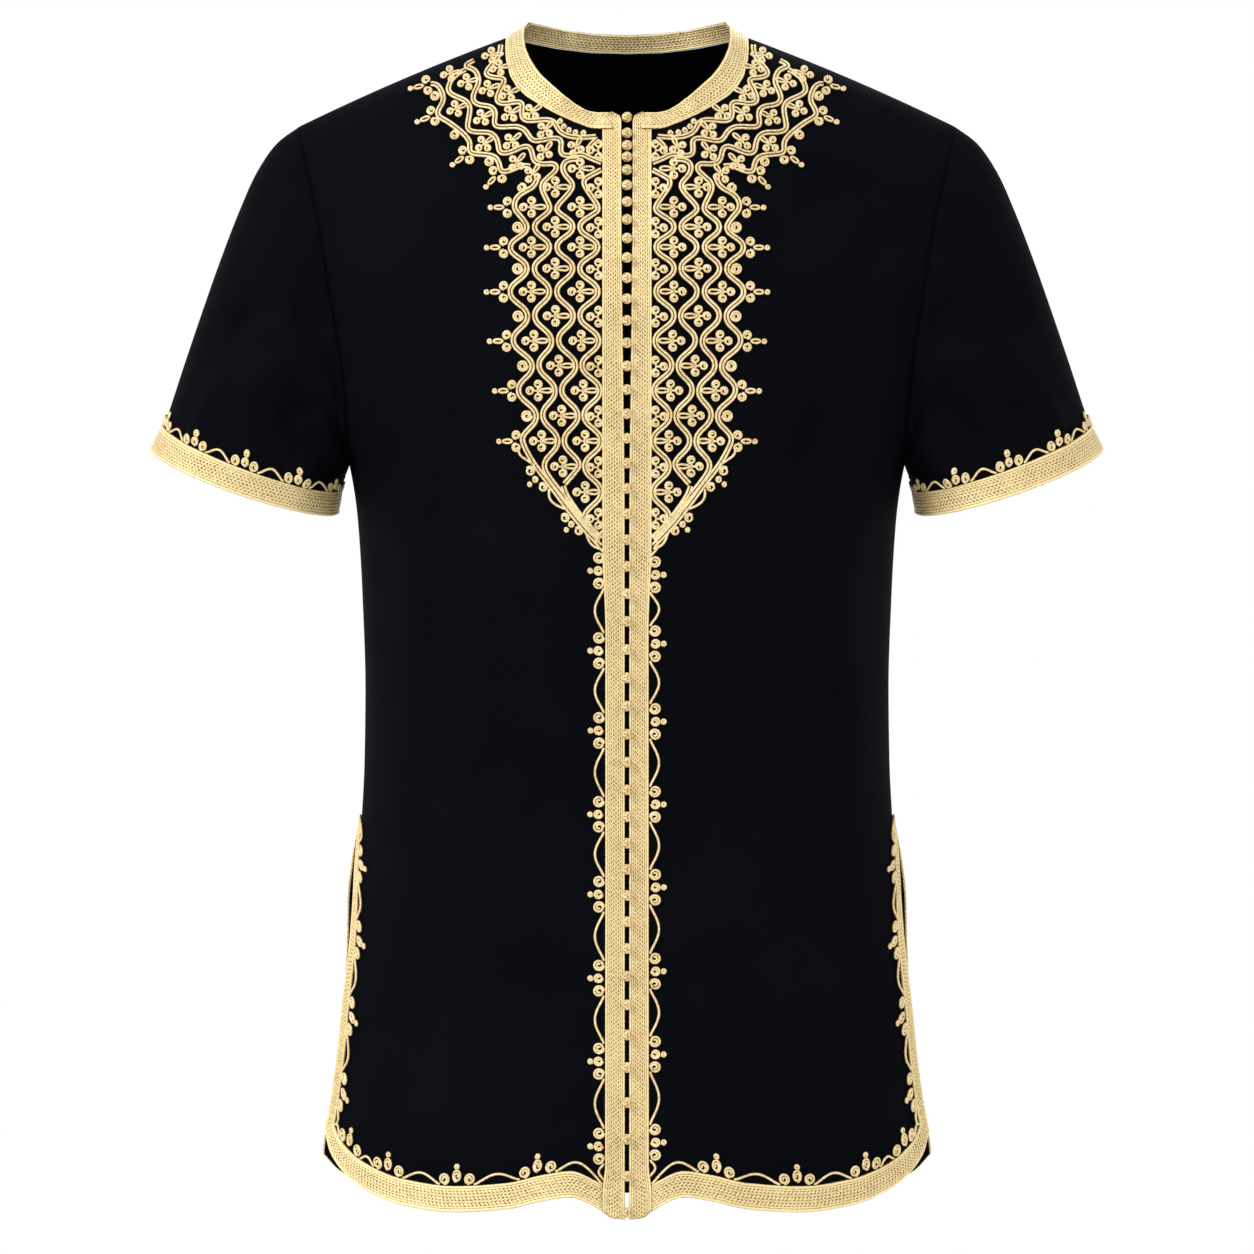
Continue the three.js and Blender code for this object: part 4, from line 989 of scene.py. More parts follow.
@dataclass(frozen=True)
class Finial:
    """A motif of the outline: two coils side by side, a bud and a ball."""

    coil_side: float = 4.3
    side_coil: tuple = (2.75, 0.8)  # outer and inner radius
    turns: float = 1.8
    bud_at: float = 6.6
    bud_half: float = 3.3
    bud_width: float = 1.35
    ball_at: float = 12.6
    ball: tuple = (1.5, 0.4, 1.5, 0.8)  # outer and inner radius, turns and step of the ball's coil
    cord: Cord = Cord(radius=0.92, step=1.3)

    def lay(self, parts: Parts, patch: Patch, x: float, z: float, angle: float) -> None:
        """Lay it in a front view, pointing at an angle."""
        around = np.linspace(0, 2 * math.pi, 16)
        bud_along = self.bud_at + self.bud_half * np.cos(around)
        bud = np.stack([bud_along, self.bud_width * np.sin(around)], axis=-1)
        lines = [
            coil(0.4, self.coil_side, -math.pi / 2, *self.side_coil, self.turns),
            coil(0.4, -self.coil_side, math.pi / 2, *self.side_coil, -self.turns),
            bud,
            coil(self.ball_at, 0, math.pi, *self.ball),
        ]
        for n, line in enumerate(lines):
            self.cord.lay(parts, patch, turned(line, x, z, angle), lift=0.1 * n)


@dataclass
class ChestOrnament:
    """Cord ornament of one side of the chest: a lattice of paired cord with knots, and finials round it."""

    side: str
    view: FrontView
    cord: Cord = Cord(radius=CORD, step=1.5)
    knot: FourPetalKnot = FourPetalKnot()
    small_knot: FourPetalKnot = FourPetalKnot(size=0.84)
    finial: Finial = Finial()
    half_knot_at: float = 20.6  # from the middle, beside the front edge braid
    half_knot_drop: float = 0.6
    finial_off: float = 3.9  # from the outer pair's bulge to a finial
    hollow_coil_off: float = 7.0  # from the outer pair's hollow to a coil
    fan_coil: tuple = (3.0, 0.8, 1.9)  # outer and inner radius, turns
    band_coil: tuple = (1.7, 0.5, 1.4)
    hollow_coil: tuple = (3.5, 0.9, 2.2)

    def wave_nodes(self, plan: WavePlan) -> list:
        """Points that a pair of cords goes through.

        Args:
            plan: the pair's plan.
        Returns:
            Distances from the middle and heights.
        """
        nodes = [in_fan(angle, distance) for angle, distance in plan.fan]
        for row in np.arange(plan.first, plan.last + 0.01, 0.25):
            swing = math.cos(math.pi * row)
            z = float(ROW_HEIGHT(row))
            x = plan.middle - plan.swing * swing * (1.2 - 0.2 * swing * swing)
            nodes.append([x * float(NARROWED(z)), z])
        return [*nodes, *plan.end]

    def build(self) -> bpy.types.Object:
        """Lay every cord of the ornament.

        Returns:
            The ornament as one piece.
        """
        parts = Parts()
        for plan in PLANS:
            line = smooth_line(np.array(self.wave_nodes(plan), float), self.cord.step)
            for offset in (-PAIR_HALF, PAIR_HALF):
                self.cord.lay(parts, self.view, beside(line, offset))
        for arc in OUTSIDE_ARCS:
            self.cord.lay(parts, self.view, smooth_line(np.array(arc, float), self.cord.step))
        for x, first, last in KNOTS:
            for row in range(first, last + 1, 2):
                z = float(ROW_HEIGHT(row))
                self.knot.lay(parts, self.view, x * float(NARROWED(z)), z, math.pi)
        for angle, distance in FAN_KNOTS:
            x, z = in_fan(angle, distance)
            self.small_knot.lay(parts, self.view, x, z, math.atan2(FAN_MIDDLE - z, -x))
        for row in range(-2, 15, 2):
            z = float(ROW_HEIGHT(row)) - self.half_knot_drop
            self.knot.lay(parts, self.view, self.half_knot_at, z, math.pi, whole=False)
        self.outline(parts)
        return parts.piece("cord_ornament_" + self.side)

    def outline(self, parts: Parts) -> None:
        """Add the finials and the coils between them, round the outer line."""
        cord = self.finial.cord
        for angle, distance in FAN_FINIALS:
            x, z = in_fan(angle, distance)
            self.finial.lay(parts, self.view, x, z, math.atan2(z - FAN_MIDDLE, x))
        for angle, distance in FAN_COILS:
            cord.lay(parts, self.view, coil(*in_fan(angle, distance), 1.2, *self.fan_coil))
        for angle, distance in BAND_COILS:
            cord.lay(parts, self.view, coil(*in_fan(angle, distance), 1.2, *self.band_coil))
        outer = PLANS[4]
        for row in range(1, outer.last + 1, 2):
            z = float(ROW_HEIGHT(row))
            x = (outer.middle + outer.swing) * float(NARROWED(z)) if row > 1 else FIRST_BULGE
            self.finial.lay(parts, self.view, x + self.finial_off, z, 0.0)
        for row in range(2, outer.last, 2):
            z = float(ROW_HEIGHT(row))
            x = (outer.middle - outer.swing) * float(NARROWED(z)) + self.hollow_coil_off
            cord.lay(parts, self.view, coil(x, z, math.pi, *self.hollow_coil))
        for x, z, radius in LOWER_COILS:
            cord.lay(parts, self.view, coil(x, z, 0.6, radius, 0.45 * radius - 0.3, 1.6))


def in_fan(angle: float, distance: float) -> list:
    """The front view's place at an angle below level and a distance from the fan's middle."""
    turn = math.radians(angle)
    return [distance * math.cos(turn), FAN_MIDDLE - distance * math.sin(turn)]


@dataclass(frozen=True)
class Ridge:
    """One raised row of a braid: its share of the width and how high it stands."""

    width: float
    height: float
    flat: bool = False


# The flat braid from its outer to its inner edge, and the neck band's from its foot to its top
EDGE_RIDGES = [Ridge(2.1, 1.0), Ridge(1.5, 0.8), Ridge(2.0, 0.86, True), Ridge(2.0, 0.9, True),
               Ridge(2.0, 0.94, True), Ridge(2.0, 0.9, True), Ridge(2.0, 0.86, True), Ridge(1.5, 0.8),
               Ridge(2.1, 1.0)]
BAND_RIDGES = [Ridge(1.5, 1.0), Ridge(1.5, 0.85), Ridge(1.5, 1.0), Ridge(1.9, 0.75, True),
               Ridge(1.9, 0.8, True), Ridge(1.9, 0.75, True), Ridge(1.5, 0.85), Ridge(1.8, 1.15)]
RIDGE_POINTS = 4


def ridge_section(ridges: list, wall: float) -> tuple:
    """The upper side of a braid's section.

    Args:
        ridges: its raised rows.
        wall: the braid's thickness at its highest row.
    Returns:
        Shares of the width, heights above the underside, and texture places where each row is one long.
    """
    total = sum(ridge.width for ridge in ridges)
    share, height, mark = [], [], []
    start = 0.0
    for n, ridge in enumerate(ridges):
        for k in range(RIDGE_POINTS + (n == len(ridges) - 1)):
            t = k / RIDGE_POINTS
            bulge = math.sqrt(max(0.0, 1 - (2 * t - 1) ** 2))
            crown = 0.55 + 0.45 * bulge if ridge.flat else 0.4 + 0.6 * bulge
            share.append((start + t * ridge.width) / total)
            height.append(wall * ridge.height * crown)
            mark.append(n + t)
        start += ridge.width
    return np.array(share), np.array(height), np.array(mark)


def add_braid(parts: Parts, patch: Patch, edge: np.ndarray, inside: np.ndarray, ridges: list, lift: float,
              wall: float, closed: bool = False, flip: bool = False) -> None:
    """Add a flat braid between two lines of a patch.

    Args:
        parts: what it is added to.
        patch: the cloth that it lies on.
        edge: its outer edge, in the patch's numbers.
        inside: its other edge, point for point.
        ridges: its raised rows.
        lift: how far its underside stands above the patch.
        wall: its thickness.
        closed: whether it closes round.
        flip: whether the faces look the other way.
    """
    share, height, mark = ridge_section(ridges, wall)
    line = edge[:, None] + (inside - edge)[:, None] * share[None, :, None]
    top = patch.laid(line[..., 0], line[..., 1], lift + np.broadcast_to(height, line.shape[:2]))
    ends = line[:, [-1, 0]]
    under = patch.laid(ends[..., 0], ends[..., 1], np.full(ends.shape[:2], lift))
    sections = np.concatenate([top, under], axis=1)
    middle = sections[:, len(share) // 2]
    length = np.concatenate([[0], np.cumsum(np.linalg.norm(np.diff(middle, axis=0), axis=-1))]) * MM
    marks = np.concatenate([mark, [mark[-1] + 0.5, mark[-1] + 0.5, 0]])
    places = np.stack(np.broadcast_arrays(length[:, None], marks[None]), axis=-1)
    add_sweep(parts, sections, places, closed, flip)


def evenly(patch: Patch, route: np.ndarray, step: float) -> tuple:
    """Points of a route across a patch, evenly spaced on the cloth.

    Args:
        patch: the cloth.
        route: the route's corners, in the patch's numbers.
        step: the distance wanted.
    Returns:
        The route's points, and their lengths from its start.
    """
    legs = [np.linspace(a, b, 60, endpoint=False) for a, b in zip(route, route[1:])]
    dense = np.concatenate([*legs, route[-1:]])
    points = patch.place(dense[:, 0], dense[:, 1])
    length = np.concatenate([[0], np.cumsum(np.linalg.norm(np.diff(points, axis=0), axis=-1))])
    even = np.linspace(0, length[-1], max(3, round(length[-1] / step) + 1))
    return np.stack([np.interp(even, length, dense[:, n]) for n in range(2)], axis=-1), even


@dataclass
class Edging:
    """Small motifs of three coils and a ball, joined by arcs, along a braid's inner edge."""

    coil_gap: float = 9.3  # between the coils of a motif
    coil_size: float = 3.5  # radius of a side coil's outer turn
    coil_off: float = 4.0  # from the braid's edge to the side coils' middle
    top_off: float = 4.4  # the same of the middle coil
    top_tall: float = 1.0  # how much taller than wide the middle coil is
    ball_off: float = 10.2
    middle_share: float = 0.82  # of a side coil's size, for the middle one
    coil_end: float = 0.75  # radius where a coil ends
    turns: float = 1.9
    ball: tuple = (1.6, 0.4, 1.7, 0.8)  # outer and inner radius, turns and step of the ball's coil
    arc_out: float = 6.4
    arc_gap: float = 3.2  # from a side coil's middle to where an arc starts
    cord: Cord = Cord(radius=0.95, step=1.3)

    def along(self, parts: Parts, patch: Patch, route: np.ndarray, inwards: tuple, starts: list) -> None:
        """Lay motifs along a route.

        Args:
            parts: what they are added to.
            patch: the cloth.
            route: the braid's inner edge, in the patch's numbers.
            inwards: which of the patch's numbers grows away from the braid, as a pair.
            starts: distances along the route of the motifs' middles.
        """
        line, length = evenly(patch, route, ROUTE_STEP)
        way = np.array(inwards, float) * 0.1
        near = patch.place(line[:, 0], line[:, 1])
        far = patch.place(line[:, 0] + way[0], line[:, 1] + way[1])
        scale = np.linalg.norm(far - near, axis=-1) / 0.1

        def put(flat: np.ndarray) -> np.ndarray:
            """From distances along and away to the patch's numbers."""
            at = [np.interp(flat[:, 0], length, line[:, n]) for n in range(2)]
            off = flat[:, 1] / np.interp(flat[:, 0], length, scale)
            return np.stack([at[n] + off * inwards[n] for n in range(2)], axis=-1)

        for middle in starts:
            for n, shift in enumerate((-self.coil_gap, 0.0, self.coil_gap)):
                size = self.coil_size * (self.middle_share if n == 1 else 1)
                off = self.top_off if n == 1 else self.coil_off
                turns = self.turns if n < 2 else -self.turns
                spiral = coil(middle + shift, off, -math.pi / 2, size, self.coil_end, turns)
                if n == 1:
                    spiral[:, 1] = off + (spiral[:, 1] - off) * self.top_tall
                self.cord.lay(parts, patch, put(spiral))
            self.cord.lay(parts, patch, put(coil(middle, self.ball_off, -math.pi / 2, *self.ball)))
        past = self.coil_gap + self.arc_gap
        for one, other in zip([-past, *starts], [*starts, length[-1] + past]):
            if other - one > 2 * past + 4:
                self.arc(parts, patch, put, one + past, other - past)

    def arc(self, parts: Parts, patch: Patch, put: Callable, start: float, end: float) -> None:
        """Lay the arc of cord between two distances along the route."""
        s = np.linspace(0, 1, max(8, round((end - start) / 1.4)))
        bow = np.sin(math.pi * s) ** 1.3 * self.arc_out * min(1.0, (end - start) / 20)
        self.cord.lay(parts, patch, put(np.stack([lerp(start, end, s), 0.6 + bow], axis=-1)))


class NodeTree:
    """A material's nodes, added one at a time."""

    def __init__(self, name: str) -> None:
        """Start a material with nothing but its output."""
        self.material = bpy.data.materials.new(name)
        self.material.use_nodes = True
        self.tree = self.material.node_tree
        self.tree.nodes.clear()

    def add(self, kind: str, settings: dict | None = None, sockets: dict | None = None) -> bpy.types.Node:
        """Add a node.

        Args:
            kind: the node's type.
            settings: its own settings, set first; a list of stops for a ramp.
            sockets: values or links of its sockets, by name or number.
        Returns:
            The node.
        """
        node = self.tree.nodes.new(kind)
        for key, value in (settings or {}).items():
            if key == "stops":
                self.stops(node, value)
            else:
                setattr(node, key, value)
        for key, value in (sockets or {}).items():
            if isinstance(value, Number):
                value = value.socket
            if isinstance(value, bpy.types.NodeSocket):
                self.tree.links.new(value, node.inputs[key])
            else:
                node.inputs[key].default_value = value
        return node

    def stops(self, node: bpy.types.Node, stops: list) -> None:
        """Set a ramp's stops, each a place and a colour."""
        elements = node.color_ramp.elements
        while len(elements) < len(stops):
            elements.new(0.5)
        for element, (at, colour) in zip(elements, stops):
            element.position = at
            element.color = (*colour, 1)


class Number:
    """A socket that holds a number, with the usual signs of arithmetic."""

    def __init__(self, nodes: NodeTree, socket: bpy.types.NodeSocket) -> None:
        """Wrap a socket."""
        self.nodes = nodes
        self.socket = socket

    def apply(self, operation: str, *others: object) -> "Number":
        """Add a Math node on this and other numbers."""
        sockets = {n: value for n, value in enumerate((self, *others))}
        node = self.nodes.add("ShaderNodeMath", {"operation": operation}, sockets)
        return Number(self.nodes, node.outputs[0])

    def reflected(self, operation: str, other: float) -> "Number":
        """Add a Math node with another number first."""
        node = self.nodes.add("ShaderNodeMath", {"operation": operation}, {0: other, 1: self})
        return Number(self.nodes, node.outputs[0])

    def __add__(self, other: object) -> "Number":
        """The sum."""
        return self.apply("ADD", other)

    def __radd__(self, other: float) -> "Number":
        """The sum."""
        return self.reflected("ADD", other)

    def __sub__(self, other: object) -> "Number":
        """The difference."""
        return self.apply("SUBTRACT", other)

    def __rsub__(self, other: float) -> "Number":
        """The difference."""
        return self.reflected("SUBTRACT", other)

    def __mul__(self, other: object) -> "Number":
        """The product."""
        return self.apply("MULTIPLY", other)

    def __rmul__(self, other: float) -> "Number":
        """The product."""
        return self.reflected("MULTIPLY", other)

    def wave(self) -> "Number":
        """A smooth wave from 0 to 1, one for each whole number."""
        return 0.5 + 0.5 * (self * (2 * math.pi)).apply("SINE")

    def fraction(self) -> "Number":
        """What is left of the whole number."""
        return self.apply("FRACT")


def uv_numbers(nodes: NodeTree) -> tuple:
    """The two texture places of a surface as numbers."""
    places = nodes.add("ShaderNodeUVMap", {"uv_map": "UVMap"})
    split = nodes.add("ShaderNodeSeparateXYZ", sockets={0: places.outputs[0]})
    return Number(nodes, split.outputs[0]), Number(nodes, split.outputs[1])


@dataclass(frozen=True)
class BlackCloth:
    """Fine matte black cloth: a close twill, hardly any gloss, slight variation of tone."""

    deep: tuple = (0.0010, 0.0012, 0.0023)
    pale: tuple = (0.0034, 0.0039, 0.0064)
    thread: float = 0.00055  # pitch of the weave, in metres
    roughness: float = 0.82

    def material(self) -> bpy.types.Material:
        """Make the material.

        Returns:
            The cloth's material.
        """
        nodes = NodeTree("black_cloth")
        u, v = uv_numbers(nodes)
        warp = (u * (1 / self.thread)).wave()
        weft = (v * (1 / self.thread)).wave()
        twill = ((u + v) * (0.5 / self.thread)).wave()
        weave = warp * 0.35 + weft * 0.25 + twill * 0.4
        place = nodes.add("ShaderNodeTexCoord").outputs["Object"]
        cloud = nodes.add("ShaderNodeTexNoise", sockets={"Vector": place, "Scale": 14.0, "Detail": 4.0})
        nap = nodes.add("ShaderNodeTexNoise", sockets={"Vector": place, "Scale": 900.0, "Detail": 2.0})
        fuzz = Number(nodes, nap.outputs[0])
        tone = Number(nodes, cloud.outputs[0]) * 0.45 + fuzz * 0.35 + weave * 0.3 - 0.1
        ramp = nodes.add("ShaderNodeValToRGB", {"stops": [(0.25, self.deep), (0.85, self.pale)]}, {0: tone})
        height = weave * 0.6 + fuzz * 0.5
        bump = nodes.add("ShaderNodeBump", sockets={"Height": height, "Strength": 0.35, "Distance": 0.0003})
        rough = self.roughness + (fuzz - 0.5) * 0.12
        shader = nodes.add("ShaderNodeBsdfPrincipled", sockets={
            "Base Color": ramp.outputs[0], "Roughness": rough, "Normal": bump.outputs[0],
            "Specular IOR Level": 0.03,
        })
        nodes.add("ShaderNodeOutputMaterial", sockets={"Surface": shader.outputs[0]})
        return nodes.material


@dataclass(frozen=True)
class GoldThread:
    """Metallic gold thread, twisted or plaited, darker between its strands by painted shade, with painted
    light on the crown of each cord and row and painted shade at their sides.
    """

    name: str
    strand: float  # length of one strand's turn along the piece, in metres
    plait: bool
    relief: float = 0.5  # how strongly its strands show, in the bump and in the painted shade between them
    mottle: float = 0.35  # how strongly single stitches differ
    shade: tuple = (0.27, 0.145, 0.034)
    body: tuple = (0.72, 0.54, 0.26)
    shine: tuple = (0.95, 0.83, 0.52)
    metal: float = 0.22
    roughness: float = 0.45

    def material(self) -> bpy.types.Material:
        """Make the material.

        Returns:
            The thread's material.
        """
        nodes = NodeTree(self.name)
        u, v = uv_numbers(nodes)
        if self.plait:
            across = v.fraction()
            side = (v * 0.5).fraction().apply("GREATER_THAN", 0.5) * 2.0 - 1.0
            strands = (u * (1 / self.strand) + across * side * 0.9).wave()
            # painted light: each row of the plait is lit on its crown and painted in shade towards its edges;
            # the same term gives the rows their bump
            groove_and_painted_shade = (across * (1 - across) * 4.0).apply("POWER", 0.5)
            # the outer cords of a braid: fainter strands and stronger painted shade at their sides
            smooth = ((v - 4.5).apply("ABSOLUTE") - 2.2).apply("MAXIMUM", 0.0).apply("MINIMUM", 1.0)
            strands = strands * (1 - smooth * 0.7) + smooth * 0.5
            groove_and_painted_shade = groove_and_painted_shade * (1 + smooth * 0.5) - smooth * 0.4
        else:
            strands = (u * (1 / self.strand) + v).wave()
            # painted light: the top of the cord, at 0.27 round it, is painted lit, and its sides and
            # underside are painted in shade; the same term gives the cord its bump
            groove_and_painted_shade = (v - 0.02).wave()
        place = nodes.add("ShaderNodeTexCoord").outputs["Object"]
        grain = nodes.add("ShaderNodeTexNoise", sockets={"Vector": place, "Scale": 1500.0, "Detail": 3.0})
        worn = nodes.add("ShaderNodeTexNoise", sockets={"Vector": place, "Scale": 40.0, "Detail": 3.0})
        height = strands * self.relief + groove_and_painted_shade * 0.4 + Number(nodes, grain.outputs[0]) * 0.3
        stitch = nodes.add("ShaderNodeTexNoise", sockets={"Vector": place, "Scale": 520.0, "Detail": 2.0})
        # painted light: the strand stripes and the groove term paint shade between the strands and at the
        # sides of cords and rows
        tone = strands * self.relief * 0.8 + groove_and_painted_shade * 0.5 + Number(nodes, grain.outputs[0]) * 0.25
        tone = tone + (Number(nodes, stitch.outputs[0]) - 0.5) * (2 * self.mottle)
        tone = tone + Number(nodes, worn.outputs[0]) * 0.3 - 0.22
        ramp = nodes.add("ShaderNodeValToRGB",
                         {"stops": [(0.26, self.shade), (0.55, self.body), (0.86, self.shine)]}, {0: tone})
        bump = nodes.add("ShaderNodeBump", sockets={"Height": height, "Strength": 0.55, "Distance": 0.0004})
        rough = self.roughness + (Number(nodes, grain.outputs[0]) - 0.5) * 0.2
        shader = nodes.add("ShaderNodeBsdfPrincipled", sockets={
            "Base Color": ramp.outputs[0], "Roughness": rough, "Normal": bump.outputs[0],
            "Metallic": self.metal,
        })
        nodes.add("ShaderNodeOutputMaterial", sockets={"Surface": shader.outputs[0]})
        return nodes.material


class Slot(Enum):
    """Names of the three materials."""

    CLOTH = "black_cloth"
    BRAID = "gold_braid"
    CORD = "gold_cord"


def finish(piece: bpy.types.Object, material: bpy.types.Material,
           nodes: list) -> bpy.types.Object:
    """Give a piece its material, and let it stand for its nodes.

    Args:
        piece: the object.
        material: its material.
        nodes: names of the solids that it stands for.
    Returns:
        The piece.
    """
    piece.data.materials.append(material)
    if nodes:
        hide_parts(*nodes)
    log.info("%s: %d faces", piece.name, len(piece.data.polygons))
    return piece


@dataclass
class Tunic:
    """The cloth panels and where they meet."""

    across_steps: int = 4  # columns of the fine grid in one column of the fan

    def __post_init__(self) -> None:
        """Make the surfaces of the panels."""
        front_width, back_width, front_depth, back_depth = [
            Profile(SECTIONS[:, 0], SECTIONS[:, n]) for n in range(1, 5)
        ]
        front_hem, back_hem = [Profile(hem[:, 0], hem[:, 1]) for hem in (HEM_FRONT, HEM_BACK)]
        self.fronts = [
            BodyCloth(-1, hand, front_width, front_depth, *FRONT_DOME, front_hem, NECK_FRONT, CORNER_FRONT,
                      [OPENING_HALF, PLACKET_INNER, PLACKET_OUTER], FOLDS_FRONT + deepened(CREASES_FRONT))
            for hand in (-1.0, 1.0)
        ]
        self.back = BodyCloth(1, 1.0, back_width, back_depth, *BACK_DOME, back_hem, NECK_BACK, CORNER_BACK,
                              [0.0], FOLDS_BACK + deepened(CREASES_BACK))
        self.sleeves = [SleeveCloth(front.hand, front, self.back) for front in self.fronts]
        self.neck = NeckCloth(self.fronts, self.back)

    def rows(self) -> np.ndarray:
        """Rows of the fine grid of a body panel."""
        stretches = [(0, 1, 5), (1, SLIT_ROW, 34), (SLIT_ROW, UNDERARM_ROW, 44)]
        made = [np.linspace(a, b, n, endpoint=False) for a, b, n in stretches]
        return np.concatenate([*made, ARMHOLE_ROWS])

    def cloth_grids(self) -> dict:
        """The outer points and rim normals of every panel.

        Returns:
            For each panel's name: points, normals, whether it closes, whether it is flipped.
        """
        rows = self.rows()
        side = np.linspace(2, 2 + SIDE_COLUMNS, SIDE_COLUMNS * self.across_steps + 1)
        columns = np.concatenate([[0, 0.5, 1, 1.33, 1.66], side])
        grids = {}
        seam_row = int(np.searchsorted(rows, UNDERARM_ROW))
        slit_row = int(np.searchsorted(rows, SLIT_ROW))
        a, b = np.meshgrid(columns, rows)
        inside = np.clip(b, EDGE_INSET, TOP_ROW - EDGE_INSET)
        for front, name in zip(self.fronts, ("left", "right")):
            normals = front.normal(np.minimum(a, front.side_column - EDGE_INSET), inside)
            grids["front_" + name] = [front.place(a, b), normals]
        back_columns = np.linspace(-SIDE_COLUMNS, SIDE_COLUMNS, 2 * SIDE_COLUMNS * self.across_steps + 1)
        a, b = np.meshgrid(back_columns, rows)
        last = self.back.side_column - EDGE_INSET
        inside = np.clip(b, EDGE_INSET, TOP_ROW - EDGE_INSET)
        grids["back"] = [self.back.place(a, b), self.back.normal(np.clip(a, -last, last), inside)]
        neck_side = 5 + NECK_COLUMNS * self.across_steps
        back_side = back_columns.searchsorted(NECK_COLUMNS)
        for name in ("front_left", "front_right"):
            self.flatten(grids[name][1][-1, neck_side:])
            self.flatten(grids[name][1][slit_row:seam_row + 1, -1])
        normals = grids["back"][1]
        self.flatten(normals[-1, back_side:])
        self.flatten(normals[-1, : len(back_columns) - back_side])
        for edge in (0, -1):
            self.flatten(normals[slit_row:seam_row + 1, edge])
        down = TOP_ROW - ARMHOLE_ROWS[::-1]
        around = np.concatenate([down, WAY_ROUND - down[-2:0:-1]])
        rings = np.linspace(0, CUFF_RING, 41)
        a, b = np.meshgrid(around, rings)
        half = len(down) - 1
        for sleeve, name, edge in zip(self.sleeves, ("left", "right"), (0, -1)):
            points = sleeve.place(a, b)
            own = sleeve.normal(a, np.clip(b, EDGE_INSET, CUFF_RING - EDGE_INSET))
            front, behind = grids["front_" + name][1], grids["back"][1]
            body = [front[-1 - k, -1] if k <= half else behind[-1 - (2 * half - k), edge]
                    for k in range(2 * half)]
            mitre = unit(own[0] + np.array(body))
            for k in (0, half):
                mitre[k, 1] = 0
            mitre = unit(mitre)
            own[0] = mitre
            for k in range(2 * half):
                if k <= half:
                    front[-1 - k, -1] = mitre[k]
                if k >= half or k == 0:
                    behind[-1 - (2 * half - k) % (2 * half), edge] = mitre[k]
            points[0] += unit(points[1] - points[0]) * 2 * SEAM_HALF
            grids["sleeve_" + name] = [points, own]
        return grids

    @staticmethod
    def flatten(normals: np.ndarray) -> None:
        """At a seam both pieces end on the plane across it."""
        normals[..., 1] = 0
        normals[...] = unit(normals)


# The cut of each piece of cloth: width, length and area, in metres and square metres
CUTS = {
    "front_left": (0.30, 0.90, 0.20),
    "front_right": (0.30, 0.90, 0.20),
    "back": (0.60, 0.90, 0.41),
    "sleeve_left": (0.45, 0.25, 0.07),
    "sleeve_right": (0.45, 0.25, 0.07),
}


